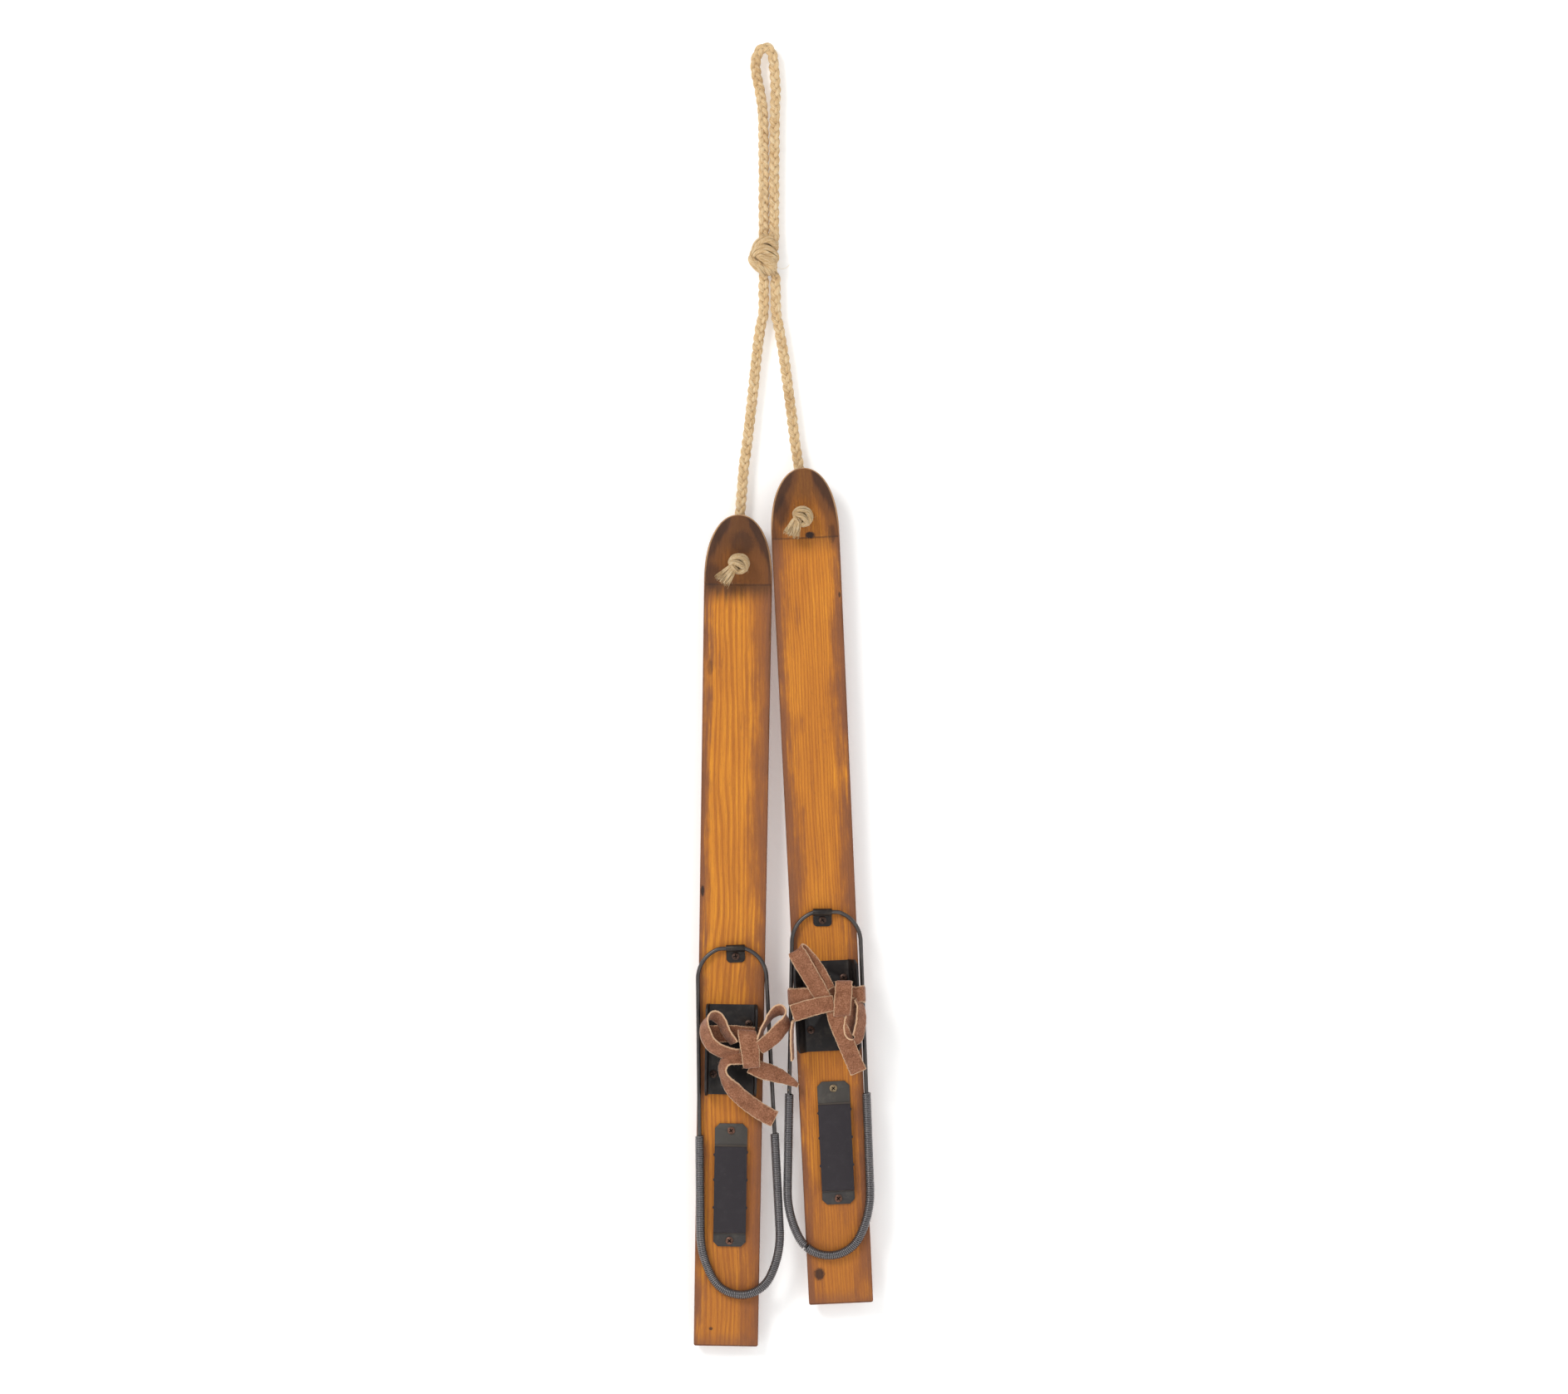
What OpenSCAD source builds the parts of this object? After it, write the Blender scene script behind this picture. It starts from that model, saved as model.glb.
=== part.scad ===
// Pair of small wooden skis with wire heel bails, hung side by side on a knotted jute cord.
// Z is up, the front of the skis faces -Y, and the origin is the inside top of the cord's loop.
// All lengths are in millimetres and all angles in degrees.

/* [View] */
// Node to draw
// Smoothness of round parts
smooth = 48; // [24:8:96]

/* [Skis] */
// Length of the left ski
left_l = 598.6; // [400:0.1:900]
// Length of the right ski
right_l = 602; // [400:0.1:900]
// Width just behind the nose
nose_w = 49; // [30:0.5:80]
// Width at the tail
tail_w = 46.2; // [30:0.5:80]
// Thickness of the board
board_t = 9; // [5:0.5:16]
// Length of the rounded nose
nose_l = 46; // [25:1:80]
// Where the tip starts to bend up, from the tip
crease = 50; // [30:1:100]
// Steepness where the bend starts
bend_a0 = 4; // [0:1:15]
// Steepness at the very tip
bend_a1 = 20; // [10:1:40]
// Radius of the cord hole
hole_r = 4.5; // [3:0.1:8]
// Distance from the tip to the cord hole
hole_s = 36.5; // [25:1:60]

/* [How they hang] */
// Sideways place of the left tip
left_x = -19.1; // [-60:0.1:0]
// Height of the left tip
left_z = -334.2; // [-500:0.1:-200]
// Lean of the left ski, tail outwards
left_lean = 0.92; // [0:0.01:5]
// Sideways place of the right tip
right_x = 26.4; // [0:0.1:60]
// Height of the right tip
right_z = -300.7; // [-500:0.1:-200]
// Lean of the right ski, tail outwards
right_lean = 2.66; // [0:0.01:5]

/* [Toe clips and bails] */
// Radius of the bail wire
wire_r = 1.5; // [1:0.1:3]
// Clearance of the wire in its clip
clip_gap = 0.08; // [0.02:0.01:0.1]
// Width of the folded clip
clip_w = 13.4; // [8:0.1:20]
// Sheet thickness of the clip
clip_t = 1; // [0.6:0.1:2]
// Distance in front of the board to the wire's centre
wire_y = 3.6; // [3:0.1:8]
// Outer radius of the coil sleeve
coil_r = 3.3; // [2.5:0.1:6]
// Inner radius of the coil sleeve
coil_bore = 2.1; // [1.8:0.1:4]

/* [Toe irons] */
// Length of the toe iron
iron_l = 65.5; // [40:0.5:100]
// Sheet thickness of the toe iron
iron_t = 1.6; // [1:0.1:3]
// Height of the ears in front of the board
ear_h = 15; // [12:0.5:35]
// Length of the strap slot
slot_l = 15; // [10:0.5:20]

/* [Heel plates] */
// Length of the heel plate
heel_l = 88.5; // [60:0.5:120]
// Width of the heel plate
heel_w = 23.4; // [15:0.2:40]
// Sheet thickness of the heel plate
heel_t = 1.4; // [1:0.1:3]
// Rise of the middle of the heel plate
heel_rise = 4.2; // [2:0.1:12]
// Length of the raised middle
heel_mid = 63; // [40:1:80]

/* [Screws] */
// Radius of a screw head
head_r = 3; // [2:0.1:5]
// Thickness of a screw head
head_t = 1.5; // [1:0.1:3]
// Radius of a screw shank
shank_r = 1.35; // [1:0.05:2]
// Length of a screw shank below the head
shank_l = 7.5; // [5:0.5:9]

/* [Cord] */
// Diameter of the braided cord
cord_d = 8; // [5:0.5:12]
// Distance of the cord's centre behind the boards
cord_y = 4.4; // [4:0.1:10]
// Sides of the cord's tube
cord_sides = 10; // [8:1:16]

/* [Lace] */
// Width of the suede lace
lace_w = 12; // [6:0.5:20]
// Thickness of the suede lace
lace_t = 2; // [1:0.1:3]

/* [Hidden] */
$fn = smooth;

wood = [0.62, 0.33, 0.11];
metal = [0.13, 0.13, 0.14];
coil_grey = [0.19, 0.18, 0.19];
copper = [0.42, 0.24, 0.16];
suede = [0.60, 0.38, 0.26];
jute = [0.72, 0.60, 0.43];
matte = [0.17, 0.15, 0.17];

// Front face of the board and places along each ski, left then right, from the tip.
front = -board_t;
cord_r = cord_d / 2;
left = 0;
right = 1;
tip_x = [left_x, right_x];
tip_z = [left_z, right_z];
lean = [left_lean, -right_lean];
ski_l = [left_l, right_l];
hole_x = [-1, -1.4];
bar_x = [0.1, 1.5];
bar_s = [311.9, 319.7];
bail_off = [-0.7, 0.7];
iron_x = [0.6, 0];
iron_s = [352, 354.5];
iron_half = [17.6, 17.6];
flare = [1.2, 6.4];
heel_x = [1.4, 1.6];
heel_s = [438.1, 441.7];
iron_screw_x = [[12.9, -12.1], [12.6, -12.7]];
iron_screw_s = [[366.1, 402.6], [367.5, 404]];
coil_from = [134.5, 131];

// Bail shape, left then right: tilt, bends and straight lengths of one half.
bail_tilt = [2.7, -2.1];
bar_half = 7.5;
turn_a = 20;
turn_r = 7;
side_a = [88.8, 88.4];
arch_r = [22.45, 22.5];
side_l = [182.5, 178];
hip_r = [68, 72];
hip_a = [118, 117];
pivot_z = -166;
knot_at = [[1.2, 1], [-0.4, 1.4]];
fray_at = [[-10.4, -8.6], [-8.6, -9.6]];

// Route of the loop over its nail, and of each leg down to its ski.
loop_route = [[-1.8, -134.6], [-1.8, -110], [-1.7, -70], [-2.2, -42], [-4.6, -26], [-7.4, -12],
    [-6.6, -2.5], [-3.6, 2.6], [0, 4.1], [3.2, 2.6], [5.2, -2.5], [6.3, -12], [7.2, -26],
    [6.9, -42], [6.5, -70], [6.5, -110], [6.5, -134.6]];
leg_x = [-1.4, 7];
leg_route = [[[-1.4, -172], [-1.6, -188], [-3.9, -199], [-6.6, -220], [-8.8, -242], [-11.2, -263],
        [-13.8, -285], [-15.8, -299], [-17.6, -321], [-19.2, -340], [-20.4, -357]],
    [[7, -172], [7.4, -188], [9.6, -199], [13.2, -220], [16.2, -242], [19, -263],
        [21.8, -285], [24.2, -300], [25.8, -312], [26.8, -324]]];

function unit(v) = v / norm(v);

// A smooth route through the given points, n steps to each stretch.
function between(a, b, c, d, t) = 0.5 * (2 * b + (c - a) * t
    + (2 * a - 5 * b + 4 * c - d) * t * t + (3 * b - a - 3 * c + d) * t * t * t);
function flow(p, n) = let(m = len(p) - 1)
    concat([for (i = [0 : m - 1]) for (k = [0 : n - 1])
        between(p[max(i - 1, 0)], p[i], p[i + 1], p[min(i + 2, m)], k / n)], [p[m]]);
function heading(p) = let(m = len(p) - 1)
    [for (i = [0 : m]) unit(p[min(i + 1, m)] - p[max(i - 1, 0)])];
function square_to(n, t) = unit(n - (n * t) * t);
function carried(t, n0) = [for (i = 0, n = square_to(n0, t[0]); i < len(t);
    i = i + 1, n = i < len(t) ? square_to(n, t[i]) : n) n];

// Skin of a swept section whose rings have k points each.
function skin_faces(m, k) = concat(
    [for (j = [1 : k - 2]) [0, j + 1, j]],
    [for (i = [0 : m - 2]) for (j = [0 : k - 1]) [i * k + j, (i + 1) * k + (j + 1) % k, (i + 1) * k + j]],
    [for (i = [0 : m - 2]) for (j = [0 : k - 1]) [i * k + j, i * k + (j + 1) % k, (i + 1) * k + (j + 1) % k]],
    [for (j = [1 : k - 2]) [(m - 1) * k, (m - 1) * k + j, (m - 1) * k + j + 1]]);

module tube(p, radii, n0) {
    t = heading(p);
    n = carried(t, n0);
    m = len(p);
    k = cord_sides;
    rings = [for (i = [0 : m - 1]) for (j = [0 : k - 1])
        p[i] + radii[i] * (cos(360 * j / k) * n[i] + sin(360 * j / k) * cross(t[i], n[i]))];
    polyhedron(points = rings, faces = skin_faces(m, k), convexity = 8);
}

// A flat lace along p, its width following the directions in w.
module ribbon(p, w, wide = lace_w, thick = lace_t) {
    q = flow(p, 5);
    v = flow(w, 5);
    t = heading(q);
    m = len(q);
    rings = [for (i = [0 : m - 1])
        let(a = square_to(v[i], t[i]), b = cross(t[i], a))
        for (c = [[1, 1], [-1, 1], [-1, -1], [1, -1]])
            q[i] + a * c[0] * wide / 2 + b * c[1] * thick / 2];
    polyhedron(points = rings, faces = skin_faces(m, 4), convexity = 8);
}

module on_ski(side) {
    translate([tip_x[side], 0, tip_z[side]])
        rotate([0, lean[side], 0])
            children();
}

// Lies on the front of the board at a place along the ski, with z standing off the wood.
module on_board(side, x, s) {
    on_ski(side)
        translate([x, front, -s])
            rotate([90, 0, 0])
                children();
}

// The clip and its bail both sit a little askew on the board.
module at_bar(side) {
    on_board(side, bar_x[side], bar_s[side])
        rotate([0, 0, bail_tilt[side]])
            children();
}

// ---- Cord ----
module rope_loop() {
    flat = flow([for (q = loop_route) [q[0], cord_y, q[1]]], 3);
    color(jute)
        tube(flat, [for (q = flat) cord_r - 0.02], [0, 1, 0]);
}

module rope_knot() {
    color(jute)
        hull() {
            translate([-6.4, cord_y - 1, -154.4])
                sphere(r = 6.6, $fn = 24);
            translate([-1.6, cord_y - 1, -142.6])
                sphere(r = 7.4, $fn = 24);
            translate([4, cord_y - 1, -142])
                sphere(r = 6.8, $fn = 24);
            translate([3, cord_y - 1, -153.6])
                sphere(r = 7.4, $fn = 24);
        }
}

function hole_at(side) = let(a = lean[side], x = hole_x[side], s = hole_s)
    [tip_x[side] + x * cos(a) - s * sin(a), 0, tip_z[side] - x * sin(a) - s * cos(a)];

// The leg starts round under the knot, runs down behind the tip and turns through the hole.
function leg_path(side) = let(
    h = hole_at(side),
    start = [3.9, 3.4, 2, 0])
    concat(
        [for (q = start) [leg_x[side], cord_y, pivot_z + q]],
        flow([for (q = leg_route[side]) [q[0], cord_y, q[1]]], 3),
        [for (a = [0 : 15 : 90]) [h[0], cord_y - 5.6 * (1 - cos(a)), h[2] + 5.6 * (1 - sin(a))]],
        [[h[0], -4, h[2]], [h[0], -7, h[2]], [h[0], -10.6, h[2]]]);
function leg_radii(side) = let(m = len(leg_path(side)))
    [for (i = [0 : m - 1]) i == 0 ? 0.8 : i == 1 ? 2.1 : i == 2 ? 3.4 : cord_r - 0.02];

module rope_leg(side) {
    color(jute)
        tube(leg_path(side), leg_radii(side), [0, 1, 0]);
}

// Ball and frayed end in front of the ski, clear of the sloping tip.
module stopper_knot(side) {
    h = hole_at(side);
    color(jute)
        translate([h[0], -19.2, h[2]])
            hull() {
                translate([knot_at[side][0] - 0.9, 0, knot_at[side][1]])
                    sphere(r = 8, $fn = 24);
                translate([knot_at[side][0] + 0.9, -0.4, knot_at[side][1]])
                    sphere(r = 8, $fn = 24);
                translate([fray_at[side][0], -2.4, fray_at[side][1]])
                    sphere(r = 5, $fn = 24);
            }
}

// ---- Boards ----
function nose_half(s) = s >= nose_l ? nose_w / 2
    : nose_w / 2 * pow(1 - pow(1 - s / nose_l, 2.15), 1 / 2.15);
nose_side = [for (i = [1 : 18]) nose_l * (1 - cos(5 * i))];
function outline(l) = let(h = tail_w / 2)
    concat([[0, 0]],
        [for (s = nose_side) [nose_half(s), -s]],
        [[h, 1 - l], [h - 1, -l], [1 - h, -l], [-h, 1 - l]],
        [for (i = [17 : -1 : 0]) [-nose_half(nose_side[i]), -nose_side[i]]]);
bend_r = 50.6 / ((bend_a1 - bend_a0) * PI / 180);

// Side view of the board: a flat slab and an upswept tip of even thickness.
module board_side(l) {
    cx = board_t / 2 + bend_r * cos(bend_a0);
    cy = -crease - bend_r * sin(bend_a0);
    translate([0, -l - 5])
        square([board_t, l + 5 - crease + 0.4]);
    intersection() {
        translate([cx, cy])
            difference() {
                circle(r = bend_r + board_t / 2, $fn = 192);
                circle(r = bend_r - board_t / 2, $fn = 192);
            }
        translate([cx, cy])
            polygon([[0, 0],
                260 * [-cos(bend_a0), sin(bend_a0)],
                300 * [-cos((bend_a0 + bend_a1) / 2), sin((bend_a0 + bend_a1) / 2)],
                260 * [-cos(bend_a1 + 3), sin(bend_a1 + 3)]]);
    }
}

module pilot(x, s) {
    translate([x, front - 1, -s])
        rotate([-90, 0, 0])
            cylinder(r = shank_r + 0.05, h = 8.5, $fn = 24);
}

module ski_board(side) {
    color(wood)
        on_ski(side)
            difference() {
                intersection() {
                    rotate([90, 0, 0])
                        translate([0, 0, -10])
                            linear_extrude(60)
                                polygon(outline(ski_l[side]));
                    translate([-40, 0, 0])
                        rotate([90, 0, 90])
                            linear_extrude(80)
                                mirror([1, 0])
                                    board_side(ski_l[side]);
                }
                translate([hole_x[side], 5, -hole_s])
                    rotate([90, 0, 0])
                        cylinder(r = hole_r, h = 30);
                pilot(bar_x[side] + 5.8 * sin(bail_tilt[side]), bar_s[side] + 5.8 * cos(bail_tilt[side]));
                pilot(iron_screw_x[side][0], iron_screw_s[side][0]);
                pilot(iron_screw_x[side][1], iron_screw_s[side][1]);
                pilot(heel_x[side], heel_s[side] + 5);
                pilot(heel_x[side], heel_s[side] + heel_l - 4.2);
            }
}

// ---- Screws ----
// Round head with a cross recess, standing on sheet of the given thickness.
module screw(sheet) {
    translate([0, 0, sheet])
        difference() {
            intersection() {
                cylinder(r = head_r, h = head_t, $fn = 32);
                translate([0, 0, head_t - 5.2])
                    sphere(r = 5.2, $fn = 48);
            }
            translate([0, 0, head_t - 0.1])
                cube([2.8, 0.7, 1.4], center = true);
            translate([0, 0, head_t - 0.1])
                cube([0.7, 2.8, 1.4], center = true);
        }
    translate([0, 0, sheet - shank_l])
        cylinder(r = shank_r, h = shank_l + 0.2, $fn = 24);
}

// ---- Toe clip ----
module toe_clip(side) {
    outer = wire_r + clip_gap + clip_t;
    color(metal)
        at_bar(side)
            difference() {
                union() {
                    translate([-clip_w / 2, -8.2, 0])
                        cube([clip_w, 8.4, clip_t]);
                    translate([-clip_w / 2 + 3, -10.4, 0])
                        cube([clip_w - 6, 3, clip_t]);
                    for (k = [-1, 1])
                        translate([k * (clip_w / 2 - 3), -7.4, 0])
                            cylinder(r = 3, h = clip_t, $fn = 32);
                    translate([-clip_w / 2, 0, wire_y])
                        rotate([0, 90, 0])
                            cylinder(r = outer, h = clip_w);
                    translate([-clip_w / 2, 0, 0])
                        cube([clip_w, outer - 0.3, wire_y - 1]);
                }
                translate([-clip_w, 0, wire_y])
                    rotate([0, 90, 0])
                        cylinder(r = wire_r + clip_gap, h = clip_w * 2);
                translate([0, -5.8, -1])
                    cylinder(r = shank_r + 0.15, h = 4, $fn = 24);
            }
}

module toe_clip_screw(side) {
    color(copper)
        at_bar(side)
            translate([0, -5.8, 0])
                screw(clip_t);
}

// ---- Bail ----
// The bail lies in its own plane: x across, y towards the tip, from the bar down.
// Each stretch is a rod or a bend of radius r, and a short collar covers each joint between them.
module bend(c, rad, a0, a1, r) {
    translate(c)
        rotate([0, 0, a0])
            rotate_extrude(angle = a1 - a0)
                translate([rad, 0])
                    circle(r = r, $fn = 24);
}

module rod(p, a, l, r) {
    translate([p[0], p[1], 0])
        rotate([0, 0, -a])
            rotate([0, 90, 0])
                cylinder(r = r, h = l, $fn = 24);
}

module collar(p, a, r) {
    translate([p[0], p[1], 0])
        rotate([0, 0, -a])
            rotate([0, 90, 0])
                translate([0, 0, -0.3])
                    cylinder(r = r + 0.03, h = 0.6, $fn = 24);
}

// Points along one half: start of the turn, arch, side, hip and foot.
function q1(s) = [bar_half, 0];
function q2(s) = q1(s) + turn_r * [sin(turn_a), cos(turn_a) - 1];
function q3(s) = q2(s) + arch_r[s] * [sin(side_a[s]) - sin(turn_a), cos(side_a[s]) - cos(turn_a)];
function q4(s) = q3(s) + side_l[s] * [cos(side_a[s]), -sin(side_a[s])];
function q5(s) = q4(s) + hip_r[s] * [sin(hip_a[s]) - sin(side_a[s]), cos(hip_a[s]) - cos(side_a[s])];
function foot_r(s) = q5(s)[0] / sin(hip_a[s]);
function foot_y(s) = q5(s)[1] + foot_r(s) * (cos(180) - cos(hip_a[s]));

module arm_top(s, r) {
    collar(q1(s), 0, r);
    bend([q1(s)[0], -turn_r, 0], turn_r, 90 - turn_a, 90, r);
    collar(q2(s), turn_a, r);
    c3 = q2(s) - arch_r[s] * [sin(turn_a), cos(turn_a)];
    bend([c3[0], c3[1], 0], arch_r[s], 90 - side_a[s], 90 - turn_a, r);
    collar(q3(s), side_a[s], r);
    rod(q3(s), side_a[s], side_l[s], r);
}

module arm_low(s, r, from) {
    start = q3(s) + from * [cos(side_a[s]), -sin(side_a[s])];
    rod(start, side_a[s], side_l[s] - from, r);
    hip(s, r);
}

module hip(s, r) {
    collar(q4(s), side_a[s], r);
    c4 = q4(s) - hip_r[s] * [sin(side_a[s]), cos(side_a[s])];
    bend([c4[0], c4[1], 0], hip_r[s], 90 - hip_a[s], 90 - side_a[s], r);
    collar(q5(s), hip_a[s], r);
}

module foot(s, r) {
    bend([0, foot_y(s) + foot_r(s), 0], foot_r(s), hip_a[s] - 270, 90 - hip_a[s], r);
}

module in_bail(side) {
    at_bar(side)
        translate([bail_off[side], 0, wire_y])
            children();
}

module both_halves() {
    children();
    mirror([1, 0, 0])
        children();
}

module bail_wire(side) {
    color(metal)
        in_bail(side) {
            rod([-bar_half, 0], 0, 2 * bar_half, wire_r);
            foot(side, wire_r);
            both_halves() {
                arm_top(side, wire_r);
                hip(side, wire_r);
            }
        }
}

module sleeve(side) {
    start = coil_from[side] - 21.5;
    difference() {
        union() {
            foot(side, coil_r);
            both_halves()
                arm_low(side, coil_r, start);
        }
        foot(side, coil_bore);
        both_halves()
            arm_low(side, coil_bore, start - 1);
    }
}

module coil_sleeve_left() {
    color(coil_grey)
        in_bail(left)
            sleeve(left);
}

// The stretch of the right sleeve that is a spring of its own.
module split_wedge(a0, a1) {
    c = [0, foot_y(right) + foot_r(right), -10];
    translate(c)
        linear_extrude(20)
            polygon([[0, 0], 300 * [cos(a0), sin(a0)],
                420 * [cos((a0 + a1) / 2), sin((a0 + a1) / 2)], 300 * [cos(a1), sin(a1)]]);
}

module coil_sleeve_right() {
    color(coil_grey)
        in_bail(right)
            difference() {
                sleeve(right);
                split_wedge(93, 226.9);
            }
}

module coil_sleeve_end_right() {
    color(coil_grey)
        in_bail(right)
            intersection() {
                sleeve(right);
                split_wedge(93, 224.7);
            }
}

// ---- Toe iron ----
module ear(side, k) {
    tilt = atan(flare[side] / ear_h);
    difference() {
        ear_blank(side, k, tilt);
        translate([-40, -10, -4.8])
            cube([80, iron_l + 20, 4.98]);
    }
}

module ear_blank(side, k, tilt) {
    translate([k * iron_half[side], iron_l / 2, 0])
        rotate([0, k * tilt, 0])
            translate([k > 0 ? -iron_t : 0, 0, 0])
                rotate([90, 0, 90])
                    linear_extrude(iron_t)
                        difference() {
                            polygon([[-iron_l / 2, -1], [-iron_l / 2, ear_h - 5],
                                [-iron_l / 2 + 3, ear_h - 1], [-iron_l / 2 + 8, ear_h],
                                [iron_l / 2 - 8, ear_h], [iron_l / 2 - 3, ear_h - 1],
                                [iron_l / 2, ear_h - 5], [iron_l / 2, -1]]);
                            translate([iron_l / 2 - 22.5 - slot_l / 2 + (side == right ? -3 : 0), 6.3])
                                square([slot_l, 4.6]);
                        }
}

module toe_iron(side) {
    color(metal)
        on_board(side, iron_x[side], iron_s[side] + iron_l)
            difference() {
                union() {
                    translate([0.5 - iron_half[side], 0.3, 0])
                        cube([iron_half[side] * 2 - 1, iron_l - 0.6, iron_t]);
                    ear(side, 1);
                    ear(side, -1);
                }
                for (i = [0, 1])
                    translate([iron_screw_x[side][i] - iron_x[side], iron_s[side] + iron_l - iron_screw_s[side][i], -1])
                        cylinder(r = shank_r + 0.15, h = 5, $fn = 24);
            }
}

module toe_iron_screw(side, i) {
    color(copper)
        on_board(side, iron_screw_x[side][i], iron_screw_s[side][i])
            screw(iron_t);
}

// ---- Heel plate ----
module heel_side(t) {
    m0 = 9.6;
    m1 = m0 + heel_mid;
    polygon([[0, 0], [m0, 0], [m0 + 1.4, heel_rise - t], [m1 - 1.4, heel_rise - t], [m1, 0], [heel_l, 0],
        [heel_l, t], [m1 + 0.8, t], [m1 - 0.8, heel_rise], [m0 + 0.8, heel_rise], [m0 - 0.8, t], [0, t]]);
}

module heel_plate(side) {
    color(metal)
        on_board(side, heel_x[side], heel_s[side] + heel_l)
            difference() {
                intersection() {
                    translate([-heel_w / 2 - 1, 0, 0])
                        rotate([90, 0, 90])
                            linear_extrude(heel_w + 2)
                                heel_side(heel_t);
                    linear_extrude(20)
                        polygon([[-heel_w / 2 + 3.4, 0], [heel_w / 2 - 3.4, 0], [heel_w / 2, 3.4],
                            [heel_w / 2, heel_l - 3.4], [heel_w / 2 - 3.4, heel_l],
                            [-heel_w / 2 + 3.4, heel_l], [-heel_w / 2, heel_l - 3.4], [-heel_w / 2, 3.4]]);
                }
                translate([0, 4.2, -1])
                    cylinder(r = shank_r + 0.15, h = 5, $fn = 24);
                translate([0, heel_l - 5, -1])
                    cylinder(r = shank_r + 0.15, h = 5, $fn = 24);
            }
}

module heel_riser(side) {
    deep = heel_rise - heel_t - 0.05;
    color(matte)
        on_board(side, heel_x[side], heel_s[side] + heel_l) {
            translate([-heel_w / 2 + 0.6, 12, 0])
                cube([heel_w - 1.2, heel_mid - 4.8, deep]);
            for (p = [[1, 28], [-1, 28], [1, 48], [-1, 48], [1, 68], [-1, 66]])
                translate([p[0] * (heel_w / 2 - 0.2), p[1], 0])
                    cylinder(r = 1, h = deep, $fn = 20);
        }
}

module heel_screw(side, s) {
    color(copper)
        on_board(side, heel_x[side], s)
            screw(heel_t);
}

// ---- Laces ----
// Routes are across, depth and height on the ski, along the middle of the lace.
module lace(side, route, wide_dirs) {
    color(suede)
        on_ski(side)
            ribbon(route, wide_dirs);
}

module lace_wrap(side, p, a, size) {
    color(suede)
        on_ski(side)
            translate(p)
                rotate([0, a, 0])
                    hull()
                        for (x = [-1, 1], z = [-1, 1])
                            translate([x * (size[0] / 2 - 2.4), 0, z * (size[2] / 2 - 2.4)])
                                rotate([90, 0, 0])
                                    cylinder(r = 2.4, h = size[1], center = true, $fn = 20);
}

module lace_band_left() {
    lace(left, [[-20.5, -17.5, -374.6], [-16, -17.6, -374.6], [-8, -19.2, -374.6], [2, -20, -374.2],
            [11, -19.4, -375], [17.5, -17.7, -375.4], [21.6, -17.5, -375.4]],
        [for (i = [0 : 6]) [0, 0, 1]]);
}

module lace_knot_left() {
    lace_wrap(left, [13.8, -30.8, -385], -5, [13, 6, 24.5]);
}

module lace_bow_outer_left() {
    lace(left, [[4.6, -27.4, -391], [-2, -28.6, -388.4], [-9, -30.6, -385.4], [-16, -32.6, -379.6],
            [-18.6, -33, -370], [-16.4, -32.2, -362.4], [-11.4, -30.4, -361.4], [-6.6, -28.6, -367.6],
            [-1.6, -27.4, -378]],
        [for (i = [0 : 8]) [-0.4, 0.66, -0.6]]);
}

module lace_bow_inner_left() {
    lace(left, [[22.6, -28.4, -377], [24.4, -29.2, -369.4], [29, -30.8, -360.8], [35, -33, -356.6],
            [38.2, -35, -359.6], [38.4, -36, -366], [33.6, -35.6, -373], [28.4, -34.4, -378], [24.6, -33.4, -381.6]],
        [[0.1, 0.95, -0.2], [0.15, 0.8, -0.4], [0.2, 0.5, -0.75], [0.2, 0.35, -0.9], [0.2, 0.35, -0.9],
            [0.2, 0.35, -0.9], [0.2, 0.35, -0.9], [0.2, 0.35, -0.9], [0.2, 0.35, -0.9]]);
}

module lace_tail_low_left() {
    lace(left, [[-4.9, -26.4, -399], [-3.8, -26, -404.6], [1, -24.4, -412.4], [7.9, -22, -420],
            [16.3, -19.4, -426.8], [25.8, -17.2, -432.2], [32.6, -16.2, -435.6]],
        [[0.3, 0.9, -0.2], [0.7, 0.6, 0], [0.85, 0.3, 0.3], [0.75, 0.1, 0.6], [0.6, 0, 0.75],
            [0.5, 0, 0.85], [0.5, 0, 0.85]]);
}

module lace_tail_side_left() {
    lace(left, [[15.4, -25.9, -398.4], [23.2, -25.6, -400.8], [31.5, -22.6, -403], [37.8, -20, -405.2],
            [44.1, -18, -408], [49.4, -17, -411]],
        [for (i = [0 : 5]) [0.25, 0.1, 1]]);
}

// On the right the strap wraps round both ears and its two ends cross in front.
module lace_band_right() {
    lace(right, [[-19, -34.6, -380.4], [-24.6, -33.8, -380.4], [-26.8, -30, -380.4], [-26.6, -24.4, -380.2],
            [-24.4, -18.4, -380], [-19, -16.9, -380.2], [0, -16.9, -380.4], [19, -16.9, -380.6],
            [24.4, -18.4, -380.8], [26.6, -24.4, -380.8], [26.8, -30, -380.6], [24.8, -33.8, -380.6],
            [19.4, -35, -380.6]],
        [for (i = [0 : 12]) [0, 0, 1]]);
}

module lace_front_right() {
    lace(right, [[-25.2, -37.2, -392], [-16, -37.4, -389.6], [-6, -37.4, -387.6], [3.8, -37.2, -386.4]],
        [for (i = [0 : 3]) [0.14, 0, 1]]);
}

module lace_knot_right() {
    lace_wrap(right, [11, -39.4, -383.6], -4, [12, 6, 24.5]);
}

module lace_bow_upper_right() {
    lace(right, [[-1.8, -41, -380.4], [-8.2, -40.8, -369], [-14.4, -40.6, -358.4], [-19.6, -40.4, -349.6],
            [-18.2, -37.6, -347], [-12, -37, -352], [-5.4, -37, -362.4], [-0.6, -37.2, -370]],
        [for (i = [0 : 7]) [0.84, -0.1, 0.5]]);
}

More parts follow.
